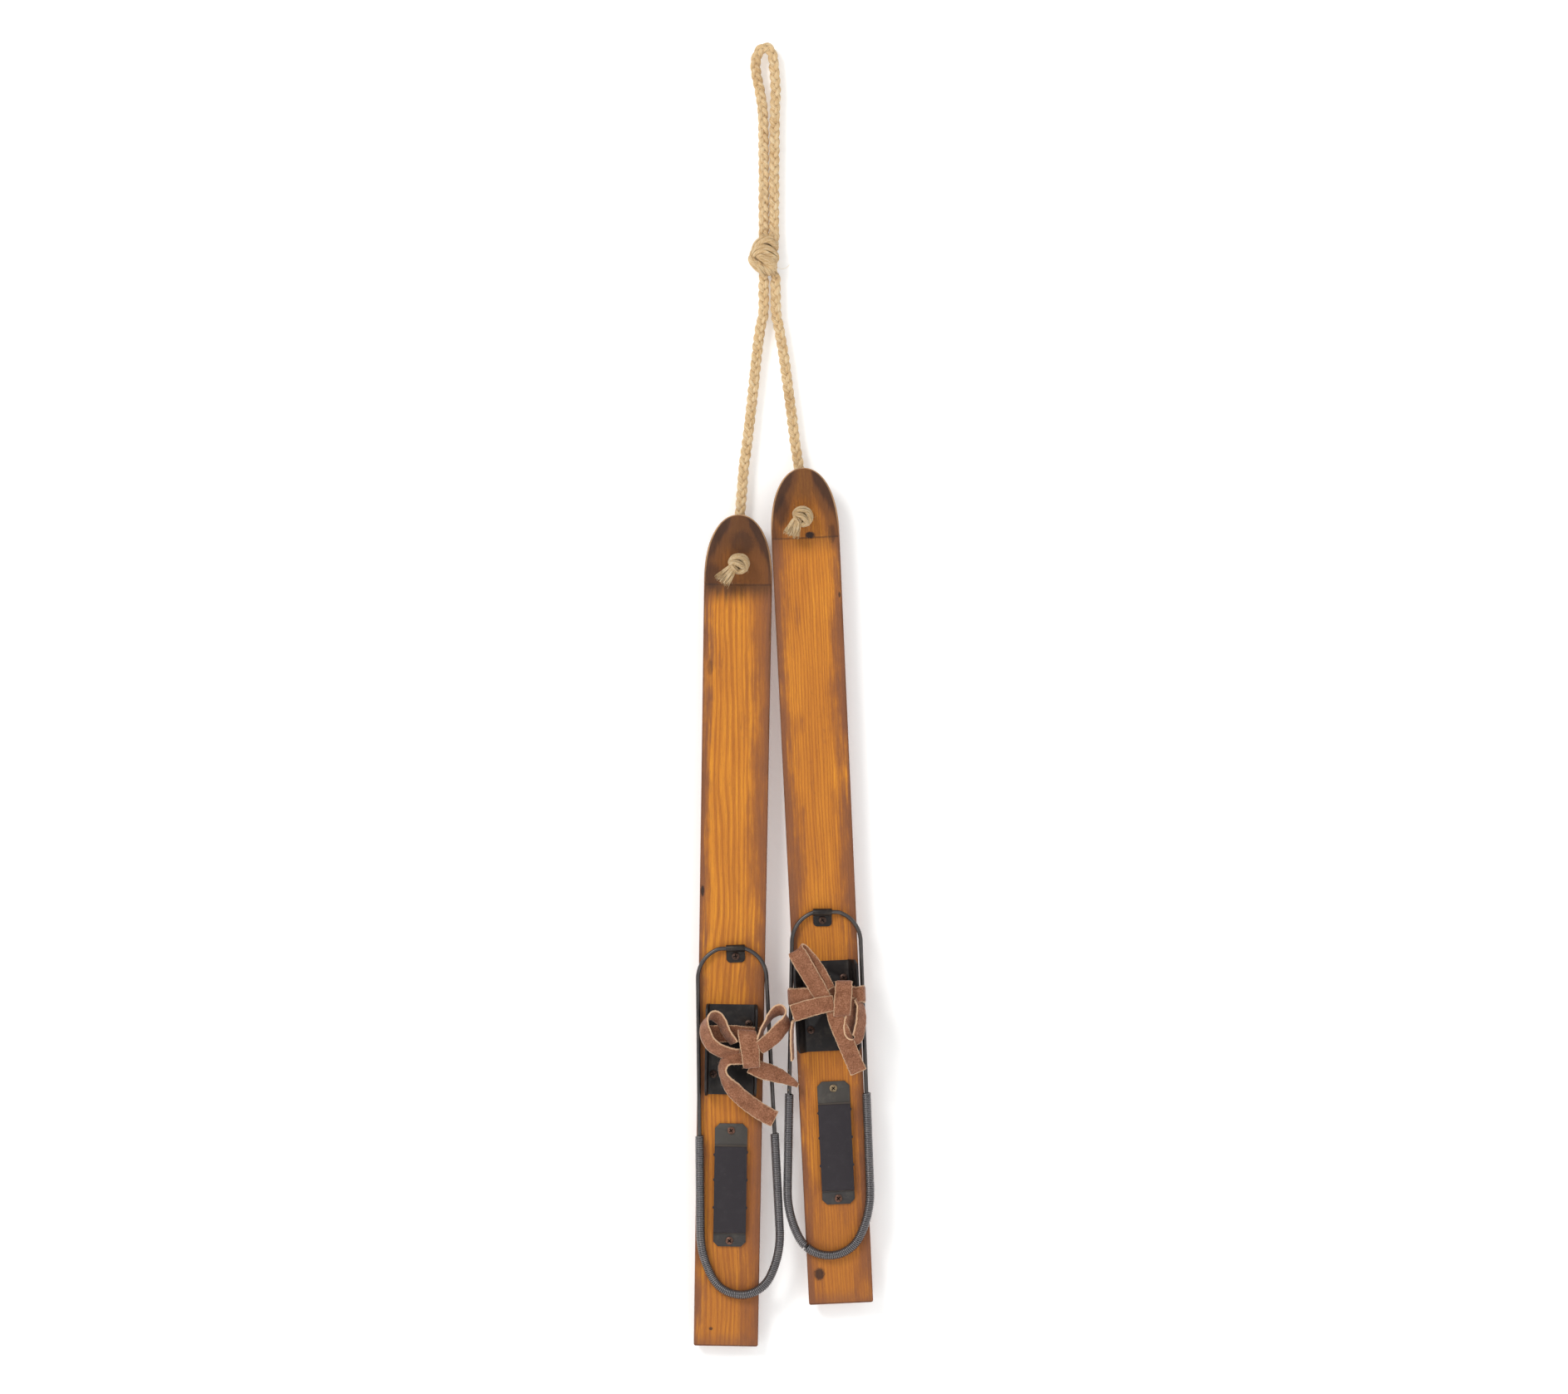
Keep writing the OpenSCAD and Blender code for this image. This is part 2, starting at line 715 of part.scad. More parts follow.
module lace_bow_lower_right() {
    lace(right, [[20.2, -30.2, -390], [17.2, -30.4, -397], [14.2, -30.6, -405], [14.8, -30.6, -409.8],
            [18.8, -30.6, -411], [21.6, -30.4, -404.4], [23, -30.2, -396.5], [23.4, -30, -390.5]],
        [for (i = [0 : 7]) [0.35, 0.9, -0.3]]);
}

module lace_tail_low_right() {
    lace(right, [[4.6, -38.8, -402], [8.6, -38.6, -410], [13, -36.6, -420], [16.8, -31, -429], [19.4, -25.6, -437]],
        [for (i = [0 : 4]) [1, 0, -0.35]]);
}

module lace_tail_hang_right() {
    lace(right, [[-25.6, -36.6, -399.6], [-26.4, -35.6, -407], [-26.8, -33.6, -416], [-27, -31.6, -425.6]],
        [for (i = [0 : 3]) [0.12, 1, 0]]);
}

rope_loop();
rope_knot();
rope_leg(left);  // rope_leg_left
stopper_knot(left);  // stopper_knot_left
ski_board(left);  // ski_board_left
toe_clip(left);  // toe_clip_left
toe_clip_screw(left);  // toe_clip_screw_left
bail_wire(left);  // bail_wire_left
coil_sleeve_left();
toe_iron(left);  // toe_iron_left
toe_iron_screw(left, 0);  // toe_iron_screw_upper_left
toe_iron_screw(left, 1);  // toe_iron_screw_lower_left
heel_plate(left);  // heel_plate_left
heel_riser(left);  // heel_riser_left
heel_screw(left, heel_s[left] + 5);  // heel_screw_upper_left
heel_screw(left, heel_s[left] + heel_l - 4.2);  // heel_screw_lower_left
lace_band_left();
lace_knot_left();
lace_bow_outer_left();
lace_bow_inner_left();
lace_tail_low_left();
lace_tail_side_left();
rope_leg(right);  // rope_leg_right
stopper_knot(right);  // stopper_knot_right
ski_board(right);  // ski_board_right
toe_clip(right);  // toe_clip_right
toe_clip_screw(right);  // toe_clip_screw_right
bail_wire(right);  // bail_wire_right
coil_sleeve_right();
coil_sleeve_end_right();
toe_iron(right);  // toe_iron_right
toe_iron_screw(right, 0);  // toe_iron_screw_upper_right
toe_iron_screw(right, 1);  // toe_iron_screw_lower_right
heel_plate(right);  // heel_plate_right
heel_riser(right);  // heel_riser_right
heel_screw(right, heel_s[right] + 5);  // heel_screw_upper_right
heel_screw(right, heel_s[right] + heel_l - 4.2);  // heel_screw_lower_right
lace_band_right();
lace_front_right();
lace_knot_right();
lace_bow_upper_right();
lace_bow_lower_right();
lace_tail_low_right();
lace_tail_hang_right();
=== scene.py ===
import bpy
import bmesh
import numpy as np
from math import pi, sin, cos, radians, sqrt
from mathutils import Vector, Matrix


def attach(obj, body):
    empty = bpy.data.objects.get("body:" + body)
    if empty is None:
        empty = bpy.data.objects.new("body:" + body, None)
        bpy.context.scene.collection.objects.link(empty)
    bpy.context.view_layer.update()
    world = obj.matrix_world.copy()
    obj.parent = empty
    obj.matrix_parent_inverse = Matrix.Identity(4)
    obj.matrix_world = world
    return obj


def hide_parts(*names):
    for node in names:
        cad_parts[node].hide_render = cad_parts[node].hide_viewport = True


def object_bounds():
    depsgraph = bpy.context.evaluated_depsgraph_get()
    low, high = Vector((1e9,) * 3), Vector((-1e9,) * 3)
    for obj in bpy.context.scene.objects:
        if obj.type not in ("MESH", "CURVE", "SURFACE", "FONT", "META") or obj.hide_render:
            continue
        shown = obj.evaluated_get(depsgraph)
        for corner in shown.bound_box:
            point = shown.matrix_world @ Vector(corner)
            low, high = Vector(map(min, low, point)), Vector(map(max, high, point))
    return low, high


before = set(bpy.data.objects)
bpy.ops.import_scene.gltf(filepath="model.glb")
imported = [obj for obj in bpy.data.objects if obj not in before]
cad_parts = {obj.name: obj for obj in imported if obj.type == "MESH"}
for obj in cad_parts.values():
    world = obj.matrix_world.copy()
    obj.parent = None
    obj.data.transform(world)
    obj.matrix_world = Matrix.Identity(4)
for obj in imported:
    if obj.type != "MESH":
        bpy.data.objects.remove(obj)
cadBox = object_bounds()
rng = np.random.default_rng(11)
print("model loaded, box", [round(v, 4) for v in cadBox[1] - cadBox[0]])

# everything below is worked out in millimetres and scaled when a mesh is written
mm = 0.001

skiSetup = {
    "left": {"tip": (-19.1, -334.2), "lean": 0.92, "length": 598.6, "hole": (-1.0, 36.5)},
    "right": {"tip": (26.4, -300.7), "lean": -2.66, "length": 602.0, "hole": (-1.4, 36.5)},
}
sides = ["left", "right"]


# camera, wall and lamps
cameraSetup = {"aim": (0.0132, 0.0, -0.4653), "away": 3.4, "wide": 1.1316}


def makeCamera():
    cam = bpy.data.objects.new("camera", bpy.data.cameras.new("camera"))
    bpy.context.scene.collection.objects.link(cam)
    x, y, z = cameraSetup["aim"]
    cam.location = (x, y - cameraSetup["away"], z)
    cam.rotation_euler = (pi / 2, 0, 0)
    cam.data.sensor_width = 36
    cam.data.lens = 36 * cameraSetup["away"] / cameraSetup["wide"]
    cam.data.clip_end = 50
    bpy.context.scene.camera = cam


makeCamera()


# shader maths
class Socket:
    # wraps one output socket; sums and products of it add their nodes
    def __init__(self, shade, socket):
        self.shade, self.socket = shade, socket

    def math(self, operation, *others):
        return self.shade.add("ShaderNodeMath", {"operation": operation}, dict(enumerate((self,) + others)))

    def __add__(self, other): return self.math("ADD", other)
    def __radd__(self, other): return self.math("ADD", other)
    def __sub__(self, other): return self.math("SUBTRACT", other)
    def __mul__(self, other): return self.math("MULTIPLY", other)
    def __rmul__(self, other): return self.math("MULTIPLY", other)
    def __truediv__(self, other): return self.math("DIVIDE", other)
    def __pow__(self, other): return self.math("POWER", other)
    def __neg__(self): return self.math("MULTIPLY", -1.0)
    def __abs__(self): return self.math("ABSOLUTE")

    def __rsub__(self, other):
        return self.shade.add("ShaderNodeMath", {"operation": "SUBTRACT"}, {0: other, 1: self})

    def __rtruediv__(self, other):
        return self.shade.add("ShaderNodeMath", {"operation": "DIVIDE"}, {0: other, 1: self})

    def atMost(self, other): return self.math("MINIMUM", other)
    def atLeast(self, other): return self.math("MAXIMUM", other)

    def rise(self, low, high, start=0.0, end=1.0):
        # smooth step from start to end while this goes from low to high
        return self.shade.add("ShaderNodeMapRange", {"interpolation_type": "SMOOTHSTEP"},
            {"Value": self, "From Min": low, "From Max": high, "To Min": start, "To Max": end})


class Shade:
    # one material under construction
    def __init__(self, name):
        self.material = bpy.data.materials.new(name)
        self.material.use_nodes = True
        self.tree = self.material.node_tree
        self.tree.nodes.clear()

    def add(self, kind, settings=None, values=None, out=0):
        node = self.tree.nodes.new(kind)
        for name, value in (settings or {}).items():
            if name == "stops":
                ramp = node.color_ramp.elements
                while len(ramp) < len(value):
                    ramp.new(0.5)
                for stop, (place, colour) in zip(ramp, value):
                    stop.position = place
                    stop.color = (*colour, 1.0)
            else:
                setattr(node, name, value)
        for name, value in (values or {}).items():
            if isinstance(value, Socket):
                self.tree.links.new(value.socket, node.inputs[name])
            else:
                node.inputs[name].default_value = value
        return Socket(self, node.outputs[out])

    def place(self):
        return self.add("ShaderNodeTexCoord", out="Object")

    def attribute(self, name, out="Fac"):
        return self.add("ShaderNodeAttribute", {"attribute_name": name}, out=out)

    def stretch(self, vector, by, shift=(0, 0, 0)):
        scaled = self.add("ShaderNodeVectorMath", {"operation": "MULTIPLY"}, {0: vector, 1: by})
        return self.add("ShaderNodeVectorMath", {"operation": "ADD"}, {0: scaled, 1: shift})

    def part(self, vector, axis):
        return self.add("ShaderNodeSeparateXYZ", None, {0: vector}, "XYZ".index(axis))

    def join(self, x, y, z):
        return self.add("ShaderNodeCombineXYZ", None, {0: x, 1: y, 2: z})

    def noise(self, vector, scale, detail=3.0, rough=0.55, distortion=0.0):
        return self.add("ShaderNodeTexNoise", None, {"Vector": vector, "Scale": scale, "Detail": detail,
            "Roughness": rough, "Distortion": distortion})

    def cells(self, vector, scale, feature="F1"):
        return self.add("ShaderNodeTexVoronoi", {"feature": feature}, {"Vector": vector, "Scale": scale})

    def mix(self, a, b, share, blend="MIX"):
        # colours a to b
        full = [(*c, 1.0) if isinstance(c, tuple) else c for c in (a, b)]
        return self.add("ShaderNodeMix", {"data_type": "RGBA", "blend_type": blend},
            {0: share, 6: full[0], 7: full[1]}, 2)

    def ramp(self, value, stops):
        return self.add("ShaderNodeValToRGB", {"stops": stops}, {0: value})

    def bump(self, height, strength, distance, under=None):
        values = {"Height": height, "Strength": strength, "Distance": distance}
        if under is not None:
            values["Normal"] = under
        return self.add("ShaderNodeBump", None, values)

    def finish(self, colour, roughness, normal=None, **fixed):
        values = {"Base Color": (*colour, 1.0) if isinstance(colour, tuple) else colour, "Roughness": roughness}
        if normal is not None:
            values["Normal"] = normal
        values.update({name.replace("_", " "): value for name, value in fixed.items()})
        surface = self.add("ShaderNodeBsdfPrincipled", None, values)
        self.out(surface)
        return self.material

    def out(self, surface):
        node = self.tree.nodes.new("ShaderNodeOutputMaterial")
        self.tree.links.new(surface.socket, node.inputs["Surface"])


# small geometry helpers
def unit(v):
    v = np.asarray(v, float)
    return v / np.maximum(np.linalg.norm(v, axis=-1, keepdims=True), 1e-9)


def smoothRoute(points, step):
    # even spacing along a smooth curve through the points
    p = np.asarray(points, float)
    n = len(p)
    fine = []
    for i in range(n - 1):
        a, b, c, d = p[max(i - 1, 0)], p[i], p[i + 1], p[min(i + 2, n - 1)]
        for k in range(24):
            t = k / 24
            fine.append(0.5 * (2 * b + (c - a) * t + (2 * a - 5 * b + 4 * c - d) * t * t
                + (3 * b - a - 3 * c + d) * t ** 3))
    fine.append(p[-1])
    return spaced(np.array(fine), step)


def spaced(line, step):
    run = np.concatenate([[0], np.cumsum(np.linalg.norm(np.diff(line[:, :3], axis=0), axis=1))])
    count = max(int(round(run[-1] / step)), 2)
    at = np.linspace(0, run[-1], count + 1)
    return np.stack([np.interp(at, run, line[:, k]) for k in range(line.shape[1])], 1)


def runOf(line):
    return np.concatenate([[0], np.cumsum(np.linalg.norm(np.diff(line, axis=0), axis=1))])


def headings(line):
    t = np.gradient(line, axis=0)
    return unit(t)


def carried(tangents, first):
    # sideways directions carried along a route without twist
    n = [unit(np.asarray(first, float) - np.dot(first, tangents[0]) * tangents[0])]
    for t in tangents[1:]:
        v = n[-1] - np.dot(n[-1], t) * t
        n.append(unit(v))
    return np.array(n)


class Piece:
    # gathers points and faces of one mesh, with named values per point
    def __init__(self):
        self.points, self.faces, self.values, self.count = [], [], {}, 0

    def put(self, points, faces, **values):
        base = self.count
        self.points.append(np.asarray(points, float))
        self.faces.extend([tuple(int(i) + base for i in f) for f in faces])
        self.count += len(points)
        for name, v in values.items():
            self.values.setdefault(name, []).append((base, np.asarray(v, float)))

    def make(self, name, material, smooth=True, rides=None):
        mesh = bpy.data.meshes.new(name)
        mesh.from_pydata((np.concatenate(self.points) * mm).tolist(), [], self.faces)
        for key, chunks in self.values.items():
            wide = chunks[0][1].ndim == 2
            full = np.zeros((self.count, 3) if wide else self.count)
            for base, v in chunks:
                full[base:base + len(v)] = v
            layer = mesh.attributes.new(key, "FLOAT_VECTOR" if wide else "FLOAT", "POINT")
            layer.data.foreach_set("vector" if wide else "value", full.astype(np.float32).ravel())
        mesh.polygons.foreach_set("use_smooth", [smooth] * len(mesh.polygons))
        mesh.materials.append(material)
        mesh.update()
        obj = bpy.data.objects.new(name, mesh)
        bpy.context.scene.collection.objects.link(obj)
        if rides:
            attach(obj, rides)
        return obj


def ringFaces(m, k, closeEnds=True):
    # skin over m rings of k points
    i, j = np.meshgrid(np.arange(m - 1), np.arange(k), indexing="ij")
    a = i * k + j
    b = i * k + (j + 1) % k
    quads = np.stack([a, b, b + k, a + k], -1).reshape(-1, 4).tolist()
    if closeEnds:
        quads.append(list(range(k))[::-1])
        quads.append([(m - 1) * k + q for q in range(k)])
    return quads


def addTube(piece, line, radius, sides=10, first=(0, 1, 0), flat=1.0, twist=0.0, shift=0.0, **more):
    # round tube along a line; "fibre" holds length and a turning place round it, for the shaders
    line = np.asarray(line, float)
    t = headings(line)
    n = carried(t, first)
    b = np.cross(t, n)
    m = len(line)
    r = np.broadcast_to(np.asarray(radius, float), (m,))
    a = np.linspace(0, 2 * pi, sides, endpoint=False)
    ring = line[:, None] + r[:, None, None] * (np.cos(a)[None, :, None] * n[:, None] * flat + np.sin(a)[None, :, None] * b[:, None])
    along = np.repeat(runOf(line), sides)
    turn = np.tile(a, m) + along * twist
    rr = np.repeat(r, sides)
    fibre = np.stack([along + shift, rr * np.cos(turn) + shift * 0.37, rr * np.sin(turn) + shift * 0.61], 1)
    piece.put(ring.reshape(-1, 3), ringFaces(m, sides), fibre=fibre, **more)


# from a ski's own millimetres (across, depth, height from its tip) to the row frame
def skiMatrix(side):
    tip, lean = skiSetup[side]["tip"], radians(skiSetup[side]["lean"])
    return np.array([[cos(lean), 0, sin(lean)], [0, 1, 0], [-sin(lean), 0, cos(lean)]]), np.array([tip[0], 0, tip[1]])


def onSki(side, points):
    turn, tip = skiMatrix(side)
    return np.asarray(points, float) @ turn.T + tip


def onBoard(side, x, s, points, spin=0.0):
    # x across, y towards the tip, z off the front face
    a = radians(spin)
    p = np.asarray(points, float)
    q = np.stack([p[:, 0] * cos(a) - p[:, 1] * sin(a), p[:, 0] * sin(a) + p[:, 1] * cos(a), p[:, 2]], 1)
    return onSki(side, np.stack([q[:, 0] + x, -9 - q[:, 2], q[:, 1] - s], 1))


def holeCentre(side):
    x, s = skiSetup[side]["hole"]
    return onSki(side, [[x, 0, -s]])[0]


# jute cord
# the gap colour is painted shade, laid where strands and wraps lie deep
cordLook = {
    "strandRadius": 2.05, "across": 2.1, "deep": 1.25, "pitch": 19.0, "step": 0.9, "sides": 12,
    "straw": (0.80, 0.53, 0.255), "pale": (0.96, 0.80, 0.54), "shade": (0.34, 0.18, 0.062), "gap": (0.20, 0.10, 0.035),
}


def juteMaterial(name, shadeLevel=1.0):
    # a level below 1 darkens the jute: painted shade for the knots
    sh = Shade(name)

    def tint(tone):
        return tuple(v * shadeLevel for v in tone)

    fibre = sh.attribute("fibre", "Vector")
    fold = sh.attribute("fold")
    fine = sh.noise(sh.stretch(fibre, (0.10, 3.4, 3.4)), 1.0, 4, 0.65)
    coarse = sh.noise(sh.stretch(fibre, (0.045, 1.1, 1.1), (3, 5, 1)), 1.0, 2)
    blotch = sh.noise(sh.place(), 95, 3)
    tone = fine * 0.68 + coarse * 0.34
    colour = sh.ramp(tone.rise(0.30, 0.70), [(0.0, tint(cordLook["shade"])), (0.38, tint(cordLook["straw"])), (1.0,
        tint(cordLook["pale"]))])
    colour = sh.mix(colour, tint((0.55, 0.30, 0.11)), blotch.rise(0.52, 0.70) * 0.38)
    # painted shade: points deep between strands and wraps are darkened towards the gap colour
    colour = sh.mix(colour, cordLook["gap"], (1.0 - (fold + (coarse - 0.5) * 0.2).rise(0.0, 0.62)) * 0.9)
    normal = sh.bump(tone, 1.0, 0.0013)
    return sh.finish(colour, 0.88, normal, Sheen_Weight=0.1, Sheen_Roughness=0.5, Specular_IOR_Level=0.2)


jute = juteMaterial("jute")
shadedKnotJute = juteMaterial("shadedKnotJute", 0.94)
shadedFrayedJute = juteMaterial("shadedFrayedJute", 0.80)


def unshadedOf(points, line, low, high):
    # how far points stand out from the middle of a cord, from 0 at low to 1 at high; where this is low the jute gets
    # painted shade
    near = np.linalg.norm(points[:, None] - line[None], axis=2).min(1)
    return np.clip((near - low) / (high - low), 0, 1)


def addPlait(piece, line, scale=1.0, first=(0, 1, 0), start=0.0, taper=None):
    # three twisted strands passing over each other along the line
    line = spaced(np.asarray(line, float), cordLook["step"])
    t = headings(line)
    deepWay = carried(t, first)
    acrossWay = np.cross(t, deepWay)
    run = runOf(line)
    size = np.ones(len(line)) * scale if taper is None else np.interp(run / run[-1], *zip(*taper)) * scale
    for k in range(3):
        phase = 2 * pi * (run / cordLook["pitch"] + k / 3 + start)
        wobble = 1 + 0.06 * np.sin(run * 0.31 + k * 2.1) + 0.05 * np.sin(run * 0.83 + k)
        a = cordLook["across"] * np.sin(phase) * size
        d = cordLook["deep"] * np.sin(2 * phase) * size
        mid = line + acrossWay * a[:, None] + deepWay * d[:, None]
        before = piece.count
        addTube(piece, mid, cordLook["strandRadius"] * size * wobble, cordLook["sides"], first,
            twist=0.42, shift=float(rng.uniform(0, 400)))
        fold = unshadedOf(piece.points[-1], line, 1.5 * scale, 3.1 * scale)
        piece.values.setdefault("fold", []).append((before, fold))


def addYarns(piece, route, wide=4.0, deep=2.4, yarns=9, thick=0.95, first=(0, 1, 0), twist=0.03, sides=8):
    # a wrap of a knot: the cord pressed into a flat bundle of side by side yarns
    line = smoothRoute(route, 0.8)
    t = headings(line)
    out = carried(t, first)
    side = np.cross(t, out)
    run = runOf(line)
    swell = 1 - 0.32 * np.abs(np.linspace(-1, 1, len(line))) ** 3
    for k in range(yarns):
        a = 2 * pi * k / yarns + run * twist + rng.uniform(-0.12, 0.12) + 0.10 * np.sin(run * 0.5 + k)
        mid = line + side * (np.cos(a) * (wide - thick) * swell)[:, None] + out * (np.sin(a) * (deep - thick) * swell)[:, None]
        before = piece.count
        addTube(piece, mid, thick * rng.uniform(0.85, 1.2) * (0.75 + 0.25 * swell), sides, first, twist=0.7,
            shift=float(rng.uniform(0, 400)))
        # yarn points nearer the middle of a wrap are marked for painted shade
        near = np.linalg.norm(piece.points[-1][:, None] - mid[None], axis=2).argmin(1)
        gap = piece.points[-1] - line[near]
        u = (gap * side[near]).sum(1) / wide
        v = (gap * out[near]).sum(1) / deep
        piece.values.setdefault("fold", []).append((before, np.clip((np.hypot(u, v) - 0.62) / 0.42, 0, 1)))


def addHairs(piece, line, radius, count, length=(2.0, 5.5), thick=0.07, spread=1.0, reach=99.0):
    # loose fibres that stand off the cord, none further out than reach
    line = spaced(np.asarray(line, float), 1.0)
    t = headings(line)
    n = carried(t, (0, 1, 0))
    b = np.cross(t, n)
    for _ in range(count):
        i = int(rng.integers(1, len(line) - 1))
        a = rng.uniform(0, 2 * pi)
        out = cos(a) * n[i] + sin(a) * b[i]
        if out[1] > 0.55:
            continue
        way = unit(t[i] * rng.choice([-1, 1]) * rng.uniform(0.5, 1.4) + out * rng.uniform(0.15, 0.55) * spread)
        long = rng.uniform(*length)
        curl = np.cross(way, out) * rng.uniform(-0.4, 0.4)
        steps = np.linspace(0, 1, 6)[:, None]
        hair = line[i] + out * radius * 0.8 + way * long * steps + out * long * 0.22 * steps ** 2 * spread + curl * long * steps ** 2
        if np.linalg.norm(hair[:, None] - line[None], axis=2).min(1).max() > reach:
            continue
        addTube(piece, hair, thick * (1 - 0.75 * steps[:, 0]), 3, first=out, shift=float(rng.uniform(0, 300)), fold=np.ones(18))


loopRoute = [(-1.3, -134.6), (-1.3, -118), (-1.5, -70), (-2.2, -42), (-4.6, -26), (-7.4, -12), (-6.6, -2.5),
    (-3.6, 2.6), (0, 4.1), (3.2, 2.6), (5.2, -2.5), (6.3, -12), (7.2, -26), (6.7, -42), (6.3, -70),
    (5.9, -118), (5.9, -134.6)]
legRoute = {
    "left": [(-1.4, -172), (-1.6, -188), (-3.9, -199), (-6.6, -220), (-8.8, -242), (-11.2, -263), (-13.8, -285),
        (-15.8, -299), (-17.6, -321), (-19.2, -340), (-20.4, -357)],
    "right": [(7, -172), (7.4, -188), (9.6, -199), (13.2, -220), (16.2, -242), (19, -263), (21.8, -285),
        (24.2, -300), (25.8, -312), (26.8, -324)],
}
cordDepth = 4.4
legTop = {"left": -1.4, "right": 7.0}


def cordLine(route):
    return smoothRoute([(x, cordDepth, z) for x, z in route], 0.9)


def legLine(side):
    h = holeCentre(side)
    top = [(legTop[side], cordDepth, -166 + d) for d in (6.4, 4, 2, 0)]
    down = [(x, cordDepth, z) for x, z in legRoute[side]]
    turn = [(h[0], cordDepth - 5.6 * (1 - cos(radians(a))), h[2] + 5.6 * (1 - sin(radians(a)))) for a in range(0, 91, 15)]
    return smoothRoute([top[0], top[2], top[3]] + down + turn + [(h[0], -4, h[2]), (h[0], -7, h[2]), (h[0], -10.6, h[2])], 0.9)


def makeKnot():
    # overhand knot of the doubled cord, wrap by wrap
    piece = Piece()
    wraps = [
        ([(-7.0, 7.5, -145.5), (-9.0, 3.0, -144.4), (-6.6, -1.4, -139.8), (-1.2, -3.2, -137.0), (4.4, -2.8, -137.6), (8.0, 0.2,
        -141.6), (7.2, 6.0, -143.6)], 3.6, 2.2, 10),
        ([(-7.0, 7.2, -150), (-10.0, 2.8, -149.6), (-8.2, -1.8, -145.6), (-2.4, -4.2, -143.6), (3.6, -4.2, -146.2), (8.0, -0.4,
        -150.4), (7.0, 5.6, -153)], 3.9, 2.3, 11),
        ([(-6.0, -0.6, -148.2), (-2.6, -4.4, -149.8), (2.2, -4.8, -153.0), (6.0, -2.8, -156.4), (6.6, 2.8, -158.4)], 3.7, 2.3, 11),
        ([(-3.0, -0.4, -153.0), (0.4, -2.2, -156.0), (2.6, -1.4, -159.4), (3.2, 2.0, -161.6)], 3.0, 2.2, 9),
        ([(-5.6, 6.6, -146), (-9.2, 3.0, -148.6), (-10.2, -0.6, -152.0), (-8.0, -2.4, -155.6), (-4.0, -0.6, -158.6), (-0.4, 4.2,
        -157.6)], 3.4, 2.4, 10),
        ([(-5.6, -1.2, -152.4), (-4.6, -3.4, -156.2), (-2.8, -2.4, -159.4), (-1.6, 1.6, -161.4), (-1.4, 4.4, -163.6)], 3.0, 2.3, 9),
        ([(3.0, 0.4, -156.4), (5.2, 0.6, -158.6), (6.4, 3.0, -161.0), (6.8, 4.4, -163.8)], 3.2, 2.4, 9),
        ([(-4, 7.4, -140), (2.2, 8.2, -142), (5.4, 7.6, -148), (2.2, 7.8, -154), (-3.4, 7.2, -157)], 3.6, 2.2, 9),
        ([(-6.6, 7.2, -152), (-1, 8.0, -147), (5, 7.0, -143)], 3.6, 2.2, 9),
    ]
    for route, wide, deep, yarns in wraps:
        tight = [(-1.0 + (x + 1.0) * 0.93, y, -146.2 + (z + 148) * 0.97) for x, y, z in route]
        addYarns(piece, tight, wide * 0.96, deep, yarns, 0.95, first=(0, -1, 0.25))
    for dx in (-1.3, 5.8):
        addPlait(piece, smoothRoute([(dx, 4.4, -131.0), (dx, 4.2, -136), (dx * 0.6 + 0.8, 3.4, -141)], 0.9), 0.98, start=0.2)
    # dark core in the knot's middle, coloured fully as painted shade seen between the wraps
    core = smoothRoute([(0.6, 2.4, -134), (-0.6, 2.4, -146), (0.6, 3, -159)], 1.0)
    addTube(piece, core, 5.6 - 1.6 * np.abs(np.linspace(-1, 1, len(core))), 14, fold=np.zeros(14 * len(core)))
    addHairs(piece, smoothRoute([(-6, 1, -138), (-7, 0, -150), (2, 0, -158)], 1), 5.0, 50)
    stray = smoothRoute([(6.0, -1.0, -154), (10.5, -2.4, -156.2), (14.2, -2.0, -156.0), (17.2, -1.2, -153.4)], 0.8)
    addTube(piece, stray, 0.13, 4, fold=np.ones(4 * len(stray)))
    return piece.make("mainKnot", shadedKnotJute, rides="rope_hanger")


stopperLook = {
    "left": {"at": (1.2, 1.0), "tail": (-11.2, -12.2), "swing": 0.0, "yarns": 46},
    "right": {"at": (-0.4, 1.4), "tail": (-8.8, -12.6), "swing": 10.0, "yarns": 46},
}


